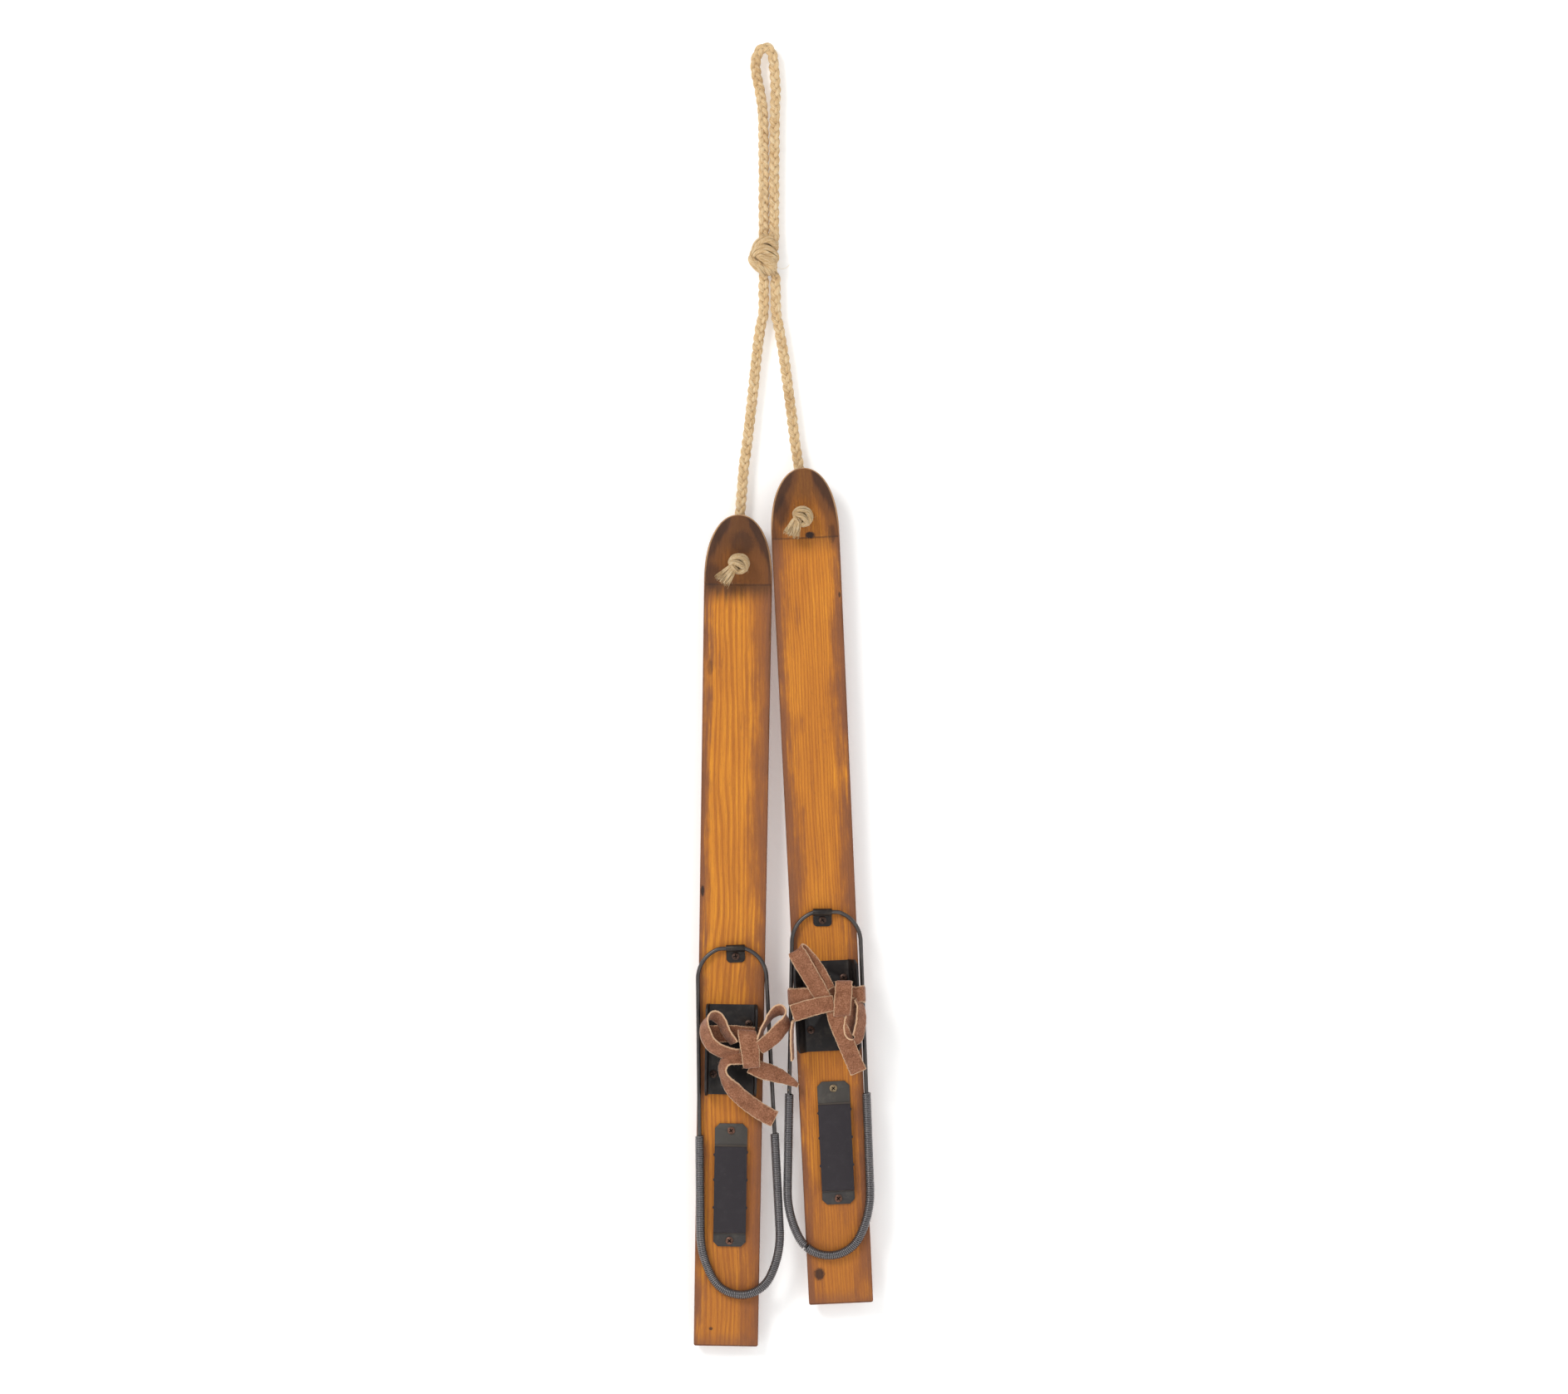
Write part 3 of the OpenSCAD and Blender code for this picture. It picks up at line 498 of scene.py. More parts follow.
def makeStopper(side):
    look = stopperLook[side]
    h = holeCentre(side)
    cx, cz = h[0] + look["at"][0], h[2] + look["at"][1]
    cy = -19.2
    piece = Piece()
    a0 = radians(look["swing"])

    def local(points):
        p = np.asarray(points, float)
        return np.stack([cx + p[:, 0] * cos(a0) + p[:, 2] * sin(a0), cy + p[:, 1], cz - p[:, 0] * sin(a0) + p[:, 2] * cos(a0)], 1)

    wraps = [
        ([(-4.2, 4.4, 0.4), (-5.2, -0.6, 2.0), (-2.6, -3.6, 4.6), (1.8, -3.8, 4.8), (5.0, -2.6, 1.6), (5.2, -1.8, -2.6), (2.0, -1.4,
        -5.4), (-1.6, 1.4, -5.4)], 3.4, 2.3, 10),
        ([(-4.8, 1.8, 2.4), (-4.0, -3.4, 1.0), (-0.6, -5.4, 0.4), (2.6, -4.4, -1.6), (4.2, 0.6, -3.4), (2.4, 4.4, -2.6)], 3.3, 2.1, 9),
        ([(-3.4, 5.0, -2.6), (2.4, 5.4, -3.2), (5.2, 2.8, 0.6), (2.6, 3.6, 4.4), (-2.8, 4.4, 3.6)], 3.4, 2.2, 8),
        ([(0.6, 1.6, -4.6), (-1.6, -2.6, -3.8), (-3.6, -3.4, -1.4), (-5.4, 0.6, 0.4)], 2.8, 2.0, 8),
    ]
    for route, wide, deep, yarns in wraps:
        addYarns(piece, local(route), wide, deep, yarns, 0.72, first=(0.1, -1, 0.1), twist=0.05, sides=6)
    # the stub and the dark heart are coloured as painted shade seen between the wraps
    stub = smoothRoute([(h[0], -9.0, h[2]), (h[0] + 0.3, -13.5, h[2] + 0.5), (cx, cy, cz)], 1.0)
    addTube(piece, stub, 4.0, 12, first=(1, 0, 0), fold=np.full(12 * len(stub), 0.2))
    heart = smoothRoute(local([(-3, 0, 2), (0, 0, 0), (3, 0, -2)]), 0.7)
    addTube(piece, heart, 4.2 - 0.8 * np.abs(np.linspace(-1, 1, len(heart))), 12, fold=np.zeros(12 * len(heart)))
    # frayed end: a spray of loose yarns out of the knot
    root = local([(-2.6, -2.2, -1.2)])[0]
    end = np.array([h[0] + look["tail"][0], cy - 2.4, h[2] + look["tail"][1]])
    mid = root * 0.45 + end * 0.55
    way = unit(end - root)
    wide = unit(np.cross(way, (0, 1, 0)))
    deep = np.array([0, 1.0, 0])
    for _ in range(look["yarns"]):
        a, q = rng.uniform(0, 2 * pi), sqrt(rng.uniform(0.05, 1))
        u, v = q * cos(a), q * sin(a)
        long = rng.uniform(0.84, 1.03) - 0.10 * abs(u)
        p0 = root + wide * u * 2.6 + deep * v * 1.9
        p1 = mid + wide * u * 4.9 + deep * v * 2.9 + rng.normal(0, 0.25, 3)
        p2 = root + (end - root) * long + wide * u * 5.7 + deep * v * 2.6 + rng.normal(0, 0.3, 3)
        line = smoothRoute([p0, (p0 + p1) / 2 + rng.normal(0, 0.2, 3), p1, p2], 0.9)
        size = np.interp(np.linspace(0, 1, len(line)), [0, 0.5, 0.9, 1], [0.85, 0.84, 0.66, 0.3]) * rng.uniform(0.75, 1.15)
        # yarns lying further back get more painted shade
        depth = float(np.clip(0.95 - v * 0.75, 0.1, 1)) * rng.uniform(0.6, 1.0)
        addTube(piece, line, size, 6, first=(0, 1, 0), twist=0.5, shift=float(rng.uniform(0, 400)), fold=np.full(6 * len(line), depth))
    for _ in range(110):
        a, q = rng.uniform(0, 2 * pi), rng.uniform(0.5, 1.1)
        p1 = mid + wide * q * cos(a) * 4.6 + deep * q * sin(a) * 2.8
        p2 = p1 + (end - mid) * rng.uniform(0.6, 1.12) + wide * cos(a) * q * 1.4 + deep * min(sin(a), 0.4) * q * 1.4 + rng.normal(0,
            0.45, 3)
        line = smoothRoute([p1, (p1 + p2) / 2 + rng.normal(0, 0.35, 3), p2], 1.4)
        addTube(piece, line, 0.09, 3, shift=float(rng.uniform(0, 300)), fold=np.ones(3 * len(line)))
    ring = smoothRoute(local([(-4, -3, 2), (0, -4.4, 4.4), (4.4, -3, 1), (3, -2.6, -4)]), 1)
    addHairs(piece, ring, 3.2, 50, (1.5, 4.5), 0.07)
    return piece.make("stopperKnot_" + side, shadedFrayedJute, rides="rope_leg_" + side)


def makeCords():
    loop = cordLine(loopRoute)
    piece = Piece()
    addPlait(piece, loop, 0.93, first=(0, 1, 0))
    addHairs(piece, loop, 3.6, 330, reach=6.9)
    body = piece.make("hangingLoop", jute, rides="rope_hanger")
    knot = makeKnot()
    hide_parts("rope_loop")
    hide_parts("rope_knot")
    for side in sides:
        line = legLine(side)
        piece = Piece()
        addPlait(piece, line, 0.95, first=(0, 1, 0), start=0.3 if side == "left" else 0.05, taper=[(0, 0.86), (0.03, 1), (1, 1)])
        addHairs(piece, line[:-14], 3.6, 210 if side == "left" else 180, reach=6.9)
        leg = piece.make("cordLeg_" + side, jute, rides="rope_leg_" + side)
        stop = makeStopper(side)
        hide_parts("rope_leg_" + side)
        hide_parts("stopper_knot_" + side)
        print("cord leg", side, round(float(runOf(line)[-1]), 1), "mm")
    print("cords made, loop", round(float(runOf(loop)[-1]), 1), "mm")


makeCords()


# wall and lamps
studio = {
    "wallDepth": 0.0118, "wallColour": (0.97, 0.97, 0.965), "floorBelow": 0.42,
    "keyPower": 46.0, "keyAt": (-1.55, -2.3, 1.15), "keySize": 1.2,
    "fillPower": 8.0, "backPower": 10.0, "skyPower": 0.62, "wallGlow": 0.16,
}


def makeStudio():
    low = cadBox[0][2] - studio["floorBelow"]
    y = studio["wallDepth"]
    curve = [(y, 2.2), (y, low + 0.5)]
    for k in range(1, 13):
        a = radians(7.5 * k)
        curve.append((y - 0.5 * (1 - cos(a)), low + 0.5 * (1 - sin(a))))
    curve.append((-7.0, low))
    points, faces = [], []
    for i, (cy, cz) in enumerate(curve):
        points += [(-6, cy, cz), (6, cy, cz)]
        if i:
            b = 2 * i
            faces.append((b - 2, b, b + 1, b - 1))
    mesh = bpy.data.meshes.new("wallSweep")
    mesh.from_pydata(points, [], faces)
    mesh.polygons.foreach_set("use_smooth", [True] * len(faces))
    sweep = bpy.data.objects.new("wallSweep", mesh)
    bpy.context.scene.collection.objects.link(sweep)
    sh = Shade("paleWall")
    cloud = sh.noise(sh.place(), 0.7, 2)
    paint = sh.mix(studio["wallColour"], (0.94, 0.94, 0.935), cloud * 0.5)
    face = sh.add("ShaderNodeBsdfPrincipled", None, {"Base Color": paint, "Roughness": 0.9, "Specular IOR Level": 0.1,
        "Emission Color": (1, 1, 1, 1), "Emission Strength": studio["wallGlow"]})
    clear = sh.add("ShaderNodeBsdfTransparent")
    behind = sh.add("ShaderNodeNewGeometry", out="Backfacing")
    sh.out(sh.add("ShaderNodeMixShader", None, {0: behind, 1: face, 2: clear}))
    mesh.materials.append(sh.material)
    sweep.visible_shadow = False  # lamps behind it still reach the backs

    def lamp(name, at, size, power, colour=(1, 1, 1), aim=(0, 0, -0.5)):
        light = bpy.data.lights.new(name, "AREA")
        light.shape = "DISK"
        light.size, light.energy, light.color = size, power, colour
        obj = bpy.data.objects.new(name, light)
        obj.location = at
        obj.rotation_euler = (Vector(aim) - Vector(at)).to_track_quat("-Z", "Y").to_euler()
        bpy.context.scene.collection.objects.link(obj)

    lamp("keyLamp", studio["keyAt"], studio["keySize"], studio["keyPower"], (1.0, 0.99, 0.97))
    lamp("fillLamp", (1.9, -2.6, -0.2), 2.4, studio["fillPower"], (0.97, 0.985, 1.0))
    lamp("backLamp", (0.9, 2.4, 0.5), 2.0, studio["backPower"])
    world = bpy.data.worlds.new("studio")
    world.use_nodes = True
    world.node_tree.nodes["Background"].inputs[0].default_value = (0.98, 0.99, 1.0, 1)
    world.node_tree.nodes["Background"].inputs[1].default_value = studio["skyPower"]
    bpy.context.scene.world = world
    bpy.context.scene.view_settings.view_transform = "Standard"
    print("studio made")


makeStudio()


# boards
boardLook = {
    "honey": (0.74, 0.295, 0.022), "amber": (0.56, 0.195, 0.018), "deep": (0.40, 0.125, 0.014), "rust": (0.205, 0.076,
        0.034), "stain": (0.275, 0.090, 0.024),
    "burnt": (0.105, 0.040, 0.013), "char": (0.030, 0.014, 0.010), "rim": (0.50, 0.295, 0.150),
    "bevel": 1.0, "noseBevel": 4.0, "backBevel": 0.7, "cornerRadius": 1.5,
    "left": {"shift": -5.0, "sway": 26.0, "pitch": 3.3, "ring": 0.20, "burn": 0.97, "streak": 0.95, "dim": 0.0, "seed": 0.0},
    "right": {"shift": 0.4, "sway": 8.0, "pitch": 2.1, "ring": 0.17, "burn": 0.84, "streak": 0.40, "dim": 0.035, "seed": 37.0},
}
noseLong, noseWide, tailWide, boardThick = 46.0, 49.0, 46.2, 9.0
bendTurn = (4.0, 20.0)
bendRadius = 50.6 / radians(bendTurn[1] - bendTurn[0])

# dark spots: across, along, radius across, radius along, strength
boardMarks = {
    "left": [(-22.0, 271.0, 1.3, 4.2, 0.95), (-11.0, 586.0, 1.6, 1.3, 0.8), (3.0, 20.0, 9.0, 9.0, 0.5),
        (-18.5, 44.0, 6.0, 10.0, 0.55), (-19.0, 110.0, 2.2, 6.0, 0.4)],
    "right": [(3.2, 48.2, 3.6, 2.7, 1.0), (-14.6, 580.0, 4.0, 4.6, 0.9), (-16.0, 30.0, 5.0, 12.0, 0.5),
        (22.5, 92.0, 1.0, 2.2, 0.8), (19.0, 48.0, 3.0, 7.0, 0.5)],
}


def boardDepth(s):
    # depth of the front and back face at a place along the ski
    s = np.asarray(s, float)
    cx = boardThick / 2 + bendRadius * cos(radians(bendTurn[0]))
    cy = -50 - bendRadius * sin(radians(bendTurn[0]))
    up = np.clip(-s, -50, 0) - cy
    front = cx - np.sqrt((bendRadius - boardThick / 2) ** 2 - up ** 2)
    back = cx - np.sqrt((bendRadius + boardThick / 2) ** 2 - up ** 2)
    flat = s >= 50
    return np.where(flat, -boardThick, -front), np.where(flat, 0.0, -np.maximum(back, 0))


def makeBoard(side, material):
    look, length = boardLook, skiSetup[side]["length"]
    half = [(0.0, 0.0)]
    for k in range(1, 37):
        s = noseLong * (1 - cos(radians(2.5 * k)))
        half.append((noseWide / 2 * (1 - (1 - s / noseLong) ** 2.15) ** (1 / 2.15), s))
    r = boardLook["cornerRadius"]
    for s in np.arange(noseLong + 3.5, length - r - 2, 3.5):
        half.append((float(np.interp(s, [noseLong, length], [noseWide / 2, tailWide / 2])), float(s)))
    for k in range(0, 6):
        a = radians(18 * k)
        half.append((tailWide / 2 - r + r * cos(a), length - r + r * sin(a)))
    half = np.array(half)
    # outward directions of the outline
    d = np.gradient(half, axis=0)
    d[0] = (1, 0)
    d[-1] = (-1, 0)
    outward = unit(np.stack([d[:, 1], -d[:, 0]], 1))
    outward[0] = (0, -1)
    outward[-1] = unit((0.2, 1.0))
    b1, b2 = boardLook["bevel"], boardLook["backBevel"]
    rings = [(b1 * (1 - sin(radians(a))), b1 * (1 - cos(radians(a)))) for a in (0, 22.5, 45, 67.5, 90)]
    rings += [(0.0, 3.2), (0.0, 5.6)]
    rings += [(b2 * (1 - cos(radians(a))), boardThick - b2 * (1 - sin(radians(a)))) for a in (0, 30, 60, 90)]
    m = len(half)
    wear = 0.16 * np.sin(half[:, 1] * 0.11 + (0 if side == "left" else 2)) + 0.1 * np.sin(half[:, 1] * 0.43 + 1)
    points = []
    ringStart = []
    order = list(range(m)) + list(range(m - 1, 0, -1))
    mirror = [1] * m + [-1] * (m - 1)
    for inset, depth in rings:
        ringStart.append(len(points))
        for i, k in zip(order, mirror):
            grow = float(np.interp(half[i, 1], [38, 60], [look["noseBevel"] / look["bevel"], 1.0])) if depth < 2.5 else 1.0
            cut = inset * grow * (1 + 0.35 * wear[i] * (k if i % 2 else 1) * min(1.0, half[i, 1] / 12.0)) if inset > 0 else 0.0
            down = depth * (1 + (grow - 1) * 0.45)
            x, s = half[i] - outward[i] * cut
            x = max(x, 0.0)
            f, bk = boardDepth(max(s, 0.0))
            y = float(f) + (float(bk) - float(f)) * down / boardThick
            points.append((x * k, y, -s))
    n = len(order)
    faces = []
    for q in range(len(rings) - 1):
        for j in range(n):
            a, c = ringStart[q] + j, ringStart[q] + (j + 1) % n
            faces.append((a, a + n, c + n, c))
    # faces between left and right edge points, row by row
    cols = 14

    def cap(start, front):
        rows = []
        for i in range(m):
            right = start + i
            left = start + (n - i) if 0 < i else start
            if i == 0:
                rows.append([right])
                continue
            pr, pl = np.array(points[right]), np.array(points[left])
            row = [left]
            for c in range(1, cols):
                row.append(len(points))
                p = pl + (pr - pl) * c / cols
                points.append(tuple(p))
            row.append(right)
            rows.append(row)
        for i in range(1, m):
            a, c = rows[i - 1], rows[i]
            if len(a) == 1:
                for q in range(cols):
                    f = (a[0], c[q], c[q + 1])
                    faces.append(f if front else f[::-1])
            else:
                for q in range(cols):
                    f = (a[q], c[q], c[q + 1], a[q + 1])
                    faces.append(f if front else f[::-1])

    # the last point of the half outline is off centre, so close the tail between both halves
    cap(ringStart[0], True)
    cap(ringStart[-1], False)
    mesh = bpy.data.meshes.new("board_" + side)
    mesh.from_pydata((onSki(side, points) * mm).tolist(), [], faces)
    mesh.materials.append(material)
    bm = bmesh.new()
    bm.from_mesh(mesh)
    bmesh.ops.remove_doubles(bm, verts=bm.verts, dist=0.00001)
    bmesh.ops.recalc_face_normals(bm, faces=bm.faces)
    bm.to_mesh(mesh)
    bm.free()
    obj = bpy.data.objects.new("board_" + side, mesh)
    bpy.context.scene.collection.objects.link(obj)
    cutHoles(obj, side)
    obj.data.polygons.foreach_set("use_smooth", [True] * len(obj.data.polygons))
    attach(obj, "ski_" + side)
    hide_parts("ski_board_" + side)
    return obj


def cutHoles(obj, side):
    # cord hole with broken edges
    x, s = skiSetup[side]["hole"]
    f, bk = (float(v) for v in boardDepth(s))
    profile = [(0.0, f - 6), (5.6, f - 6), (5.6, f - 1.1), (4.5, f + 0.6), (4.5, bk - 0.6), (5.6, bk + 1.1), (5.6, bk + 6), (0.0, bk + 6)]
    cutter = Piece()
    k = 48
    pts = []
    for r, y in profile[1:-1]:
        pts += [(x + r * cos(2 * pi * j / k), y, -s + r * sin(2 * pi * j / k)) for j in range(k)]
    cutter.put(onSki(side, pts), ringFaces(len(profile) - 2, k))
    tool = cutter.make("holeTool", obj.data.materials[0], smooth=False)
    bm = bmesh.new()
    bm.from_mesh(tool.data)
    bmesh.ops.recalc_face_normals(bm, faces=bm.faces)
    bm.to_mesh(tool.data)
    bm.free()
    cut = obj.modifiers.new("hole", "BOOLEAN")
    cut.operation, cut.solver, cut.object = "DIFFERENCE", "EXACT", tool
    applyAll(obj)
    bpy.data.objects.remove(tool)


def applyAll(obj):
    # bakes the modifiers into the mesh
    graph = bpy.context.evaluated_depsgraph_get()
    done = bpy.data.meshes.new_from_object(obj.evaluated_get(graph))
    obj.modifiers.clear()
    old = obj.data
    obj.data = done
    done.name = obj.name
    bpy.data.meshes.remove(old)


def skiPlace(sh, side):
    # the ski's own millimetres: x across, y depth, z height from the tip
    turn, tip = skiMatrix(side)
    back = -(tip @ turn)
    return sh.add("ShaderNodeMapping", {"vector_type": "POINT"}, {"Vector": sh.place(), "Location": tuple(back),
        "Rotation": (0, -radians(skiSetup[side]["lean"]), 0), "Scale": (1000, 1000, 1000)})


def boardMaterial(side):
    sh = Shade("stainedWood_" + side)
    look, own = boardLook, boardLook[side]
    seed = own["seed"]
    p = skiPlace(sh, side)
    x, depth, z = sh.part(p, "X"), sh.part(p, "Y"), sh.part(p, "Z")
    s = -z
    off = (seed, seed * 0.7, seed * 1.3)
    # growth rings: fine lines along the board that wander a little
    sway = sh.noise(sh.stretch(p, (0.018, 0.018, 0.0042), off), 1.0, 2) - 0.5
    sway2 = sh.noise(sh.stretch(p, (0.06, 0.06, 0.014), off), 1.0, 2) - 0.5
    g = x + sway * own["sway"] + sway2 * 3.0
    uneven = sh.noise(sh.join(g * 0.22, depth * 0.1, seed), 1.0, 2) - 0.5
    ringWave = sh.add("ShaderNodeMath", {"operation": "SINE"}, {0: (g + uneven * 5.0) * (2 * pi / own["pitch"])})
    ring = (ringWave * 0.5 + 0.5) ** 1.8
    fibre = sh.noise(sh.stretch(p, (2.1, 2.1, 0.034), off), 1.0, 4, 0.66)
    pores = sh.noise(sh.stretch(p, (3.4, 3.4, 0.22), off), 1.0, 2, 0.6)
    speck = sh.noise(sh.stretch(p, (1.5, 1.5, 0.8), off), 1.0, 3, 0.65)
    streak = sh.noise(sh.stretch(p, (0.42, 0.3, 0.020), off), 1.0, 3, 0.55)
    mottle = sh.noise(sh.stretch(p, (0.11, 0.09, 0.040), off), 1.0, 4, 0.62)
    cloud = sh.noise(sh.stretch(p, (0.05, 0.04, 0.013), off), 1.0, 3, 0.5)
    tone = ring * own["ring"] + fibre * 0.46 + streak * 0.26 + cloud * 0.30 + own["dim"]
    colour = sh.ramp(tone.rise(0.30, 0.80), [(0.0, look["honey"]), (0.42, look["amber"]), (1.0, look["deep"])])
    # stain gathers along the long edges and in blotches reaching inwards
    half = s.rise(0.0, 46.0, 6.0, 24.3)
    edge = abs(x) / half
    lean = abs(x - own["shift"]) / half
    ragged = (mottle - 0.5) * 0.85 + (cloud - 0.5) * 0.7 + (streak - 0.5) * 0.75
    stain = (lean + ragged * 1.25).rise(0.36, 0.92)
    colour = sh.mix(colour, look["stain"], stain * 0.80)
    # the board is made darker towards its lower end by mixing in more stain
    worn = (s + ragged * 260.0).rise(230.0, 620.0)
    colour = sh.mix(colour, look["stain"], worn * 0.34)
    patch = (ragged + 0.5).rise(0.62, 0.95)
    colour = sh.mix(colour, look["stain"], patch * 0.6)
    outer = (edge + ragged * 0.6).rise(0.60, 0.98)
    colour = sh.mix(colour, look["rust"], outer * 0.88)
    line = (edge + (fibre - 0.5) * 0.14 + (mottle - 0.5) * 0.12).rise(0.93, 1.0)
    colour = sh.mix(colour, look["burnt"], line * 0.7)
    # burnt tip above the crease
    tipMask = 1.0 - s.rise(49.2, 50.6)
    crown = 1.0 - (s + (mottle - 0.5) * 16.0).rise(4.0, 40.0)
    warm = (mottle * 0.9 + streak * 0.5).rise(0.62, 0.98)
    if side == "left":
        burn = tipMask * (1.0 - warm * 0.35)
    else:
        burn = tipMask * (crown * 0.75 + (edge + ragged * 0.5).rise(0.45, 0.95) * 0.9 + 0.46 - warm * 0.34).atLeast(0.1).atMost(1.0)
    burntTone = sh.mix((0.175, 0.060, 0.014), look["burnt"], (crown * 0.8 + ragged * 0.7 + 0.15).atLeast(0.0).atMost(1.0))
    burntTone = sh.mix(burntTone, look["char"], (edge + ragged * 0.7).rise(0.80, 1.15) * 0.75)
    colour = sh.mix(colour, burntTone, burn * own["burn"])
    broken = s + (fibre - 0.5) * 12.0 + (streak - 0.5) * 18.0 + (mottle - 0.5) * 8.0
    streaks = (1.0 - broken.rise(50.5, 66.0)) * (1.0 - tipMask)
    colour = sh.mix(colour, look["burnt"], streaks * own["streak"])
    # painted shade along the crease where the tip's bend starts; the same mask cuts a groove in the bump
    creaseShadeAndGroove = 1.0 - abs(s - 50.0).rise(0.25, 1.0)
    colour = sh.mix(colour, look["char"], creaseShadeAndGroove * (0.30 + 0.4 * fibre))
    # tail end: a rust band, and a painted shadow line along its bottom edge
    tail = (s + (mottle - 0.5) * 12.0).rise(skiSetup[side]["length"] - 12.0, skiSetup[side]["length"] - 1.0)
    colour = sh.mix(colour, look["rust"], tail * 0.6)
    tailShadowLine = s.rise(skiSetup[side]["length"] - 1.6, skiSetup[side]["length"] - 0.5)
    colour = sh.mix(colour, look["char"], tailShadowLine * 0.7)
    # knots and dents
    dark = None
    for mx, ms, rx, rs, power in boardMarks[side]:
        away = sh.add("ShaderNodeMath", {"operation": "SQRT"}, {0: ((x - mx) / rx) ** 2.0 + ((s - ms) / rs) ** 2.0})
        spot = (1.0 - (away + (speck - 0.5) * 0.9).rise(0.62, 1.2)) * power
        dark = spot if dark is None else dark.atLeast(spot)
    colour = sh.mix(colour, look["char"], dark)
    # sides and back
    facing = sh.add("ShaderNodeNewGeometry", out="Normal")
    frontness = (-sh.part(facing, "Y")).rise(0.76, 0.90)
    backness = sh.part(facing, "Y").rise(0.5, 0.9)
    nose = 1.0 - s.rise(30.0, 58.0)
    rimTone = sh.mix(look["rust"], look["rim"], nose * (0.55 + fibre * 0.6).atMost(1.0))
    rimTone = sh.mix(rimTone, look["burnt"], (mottle + streak * 0.4).rise(0.62, 0.86) * 0.4)
    colour = sh.mix(rimTone, colour, (frontness + backness).atMost(1.0))
    fleck = pores.rise(0.56, 0.72)
    colour = sh.mix(colour, look["burnt"], fleck * 0.30)
    # painted glints: light flecks that stand in for specular glitter
    paintedGlint = speck.rise(0.66, 0.74) * (1.0 - burn * 0.6)
    colour = sh.mix(colour, (0.86, 0.42, 0.09), paintedGlint * 0.28)
    rough = 0.50 + fibre * 0.16 + stain * 0.06 + burn * 0.08
    height = ring * 0.35 + fibre * 0.5 + pores * 0.5 - dark * 0.6 - creaseShadeAndGroove * 0.8
    normal = sh.bump(height, 0.6, 0.0004)
    return sh.finish(colour, rough, normal, Specular_IOR_Level=0.28, Coat_Weight=0.04, Coat_Roughness=0.3)


for side in sides:
    makeBoard(side, boardMaterial(side))
print("boards made")


# black metal
metalLook = {
    "paint": (0.0118, 0.0090, 0.0088), "worn": (0.085, 0.068, 0.055), "tab": (0.056, 0.049, 0.043),
    "plate": (0.0225, 0.0175, 0.0215), "edgeRound": 0.00028,
}


def metalMaterial(name, base, worn, rough=0.42, wear=0.3, fleck=0.35, metallic=0.35, sunk=False):
    sh = Shade(name)
    p = sh.place()
    mottle = sh.noise(p, 160, 4, 0.6)
    grit = sh.noise(p, 1900, 2, 0.6)
    scratchA = sh.noise(sh.stretch(p, (2200, 2200, 45)), 1.0, 2)
    scratchB = sh.noise(sh.stretch(p, (70, 500, 2600)), 1.0, 2)
    scrape = scratchA.rise(0.69, 0.76) * mottle.rise(0.45, 0.65) + scratchB.rise(0.72, 0.78) * mottle.rise(0.5, 0.7)
    specks = sh.cells(p, 620).rise(0.10, 0.04) * mottle.rise(0.5, 0.62)
    colour = sh.mix(base, worn, (mottle.rise(0.45, 0.75) * wear + scrape * fleck + specks * fleck).atMost(1.0))
    # painted shade: marked points are darkened to near black
    if sunk:
        colour = sh.mix(colour, (0.004, 0.004, 0.004), sh.attribute("sunk"))
    roughness = rough + (mottle - 0.5) * 0.22 + grit * 0.08 - scrape * 0.08
    normal = sh.bump(grit * 0.6 + mottle * 0.8 - scrape * 0.3, 0.22, 0.0002)
    return sh.finish(colour, roughness, normal, Metallic=metallic, Specular_IOR_Level=0.5)


blackMetal = metalMaterial("blackMetal", metalLook["paint"], metalLook["worn"], 0.40, 0.35, 0.4)
wireMetal = metalMaterial("wireMetal", (0.080, 0.072, 0.070), (0.17, 0.14, 0.12), 0.30, 0.4, 0.3, 0.75)
clipMetal = metalMaterial("clipMetal", (0.021, 0.017, 0.016), (0.09, 0.07, 0.05), 0.38, 0.45, 0.5, 0.6)


def softened(node, name, material, width=None, body=None, smooth=40, slide=(0, 0, 0)):
    # the part's own shape with its sharp edges broken
    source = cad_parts[node]
    mesh = source.data.copy()
    mesh.name = name
    mesh.transform(Matrix.Translation(Vector(slide) * mm))
    mesh.materials.clear()
    mesh.materials.append(material)
    obj = bpy.data.objects.new(name, mesh)
    bpy.context.scene.collection.objects.link(obj)
    bm = bmesh.new()
    bm.from_mesh(mesh)
    bmesh.ops.remove_doubles(bm, verts=bm.verts, dist=0.000004)
    bmesh.ops.dissolve_limit(bm, angle_limit=radians(1.5), verts=bm.verts, edges=bm.edges)
    bmesh.ops.recalc_face_normals(bm, faces=bm.faces)
    bm.to_mesh(mesh)
    bm.free()
    bev = obj.modifiers.new("edges", "BEVEL")
    bev.width = width or metalLook["edgeRound"]
    bev.segments = 2
    bev.limit_method = "ANGLE"
    bev.angle_limit = radians(35)
    bev.use_clamp_overlap = True
    bev.harden_normals = False
    applyAll(obj)
    obj.data.polygons.foreach_set("use_smooth", [True] * len(obj.data.polygons))
    sharpen(obj.data, smooth)
    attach(obj, body)
    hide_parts(node)
    return obj


def sharpen(mesh, limit):
    # keeps edges sharper than the limit crisp in smooth shading
    bm = bmesh.new()
    bm.from_mesh(mesh)
    for e in bm.edges:
        if len(e.link_faces) == 2 and e.calc_face_angle(0) > radians(limit):
            e.smooth = False
    bm.to_mesh(mesh)
    bm.free()


heelLook = {"slope": 9.6, "long": 88.5, "mid": 63.0, "s": {"left": 438.1, "right": 441.7}}


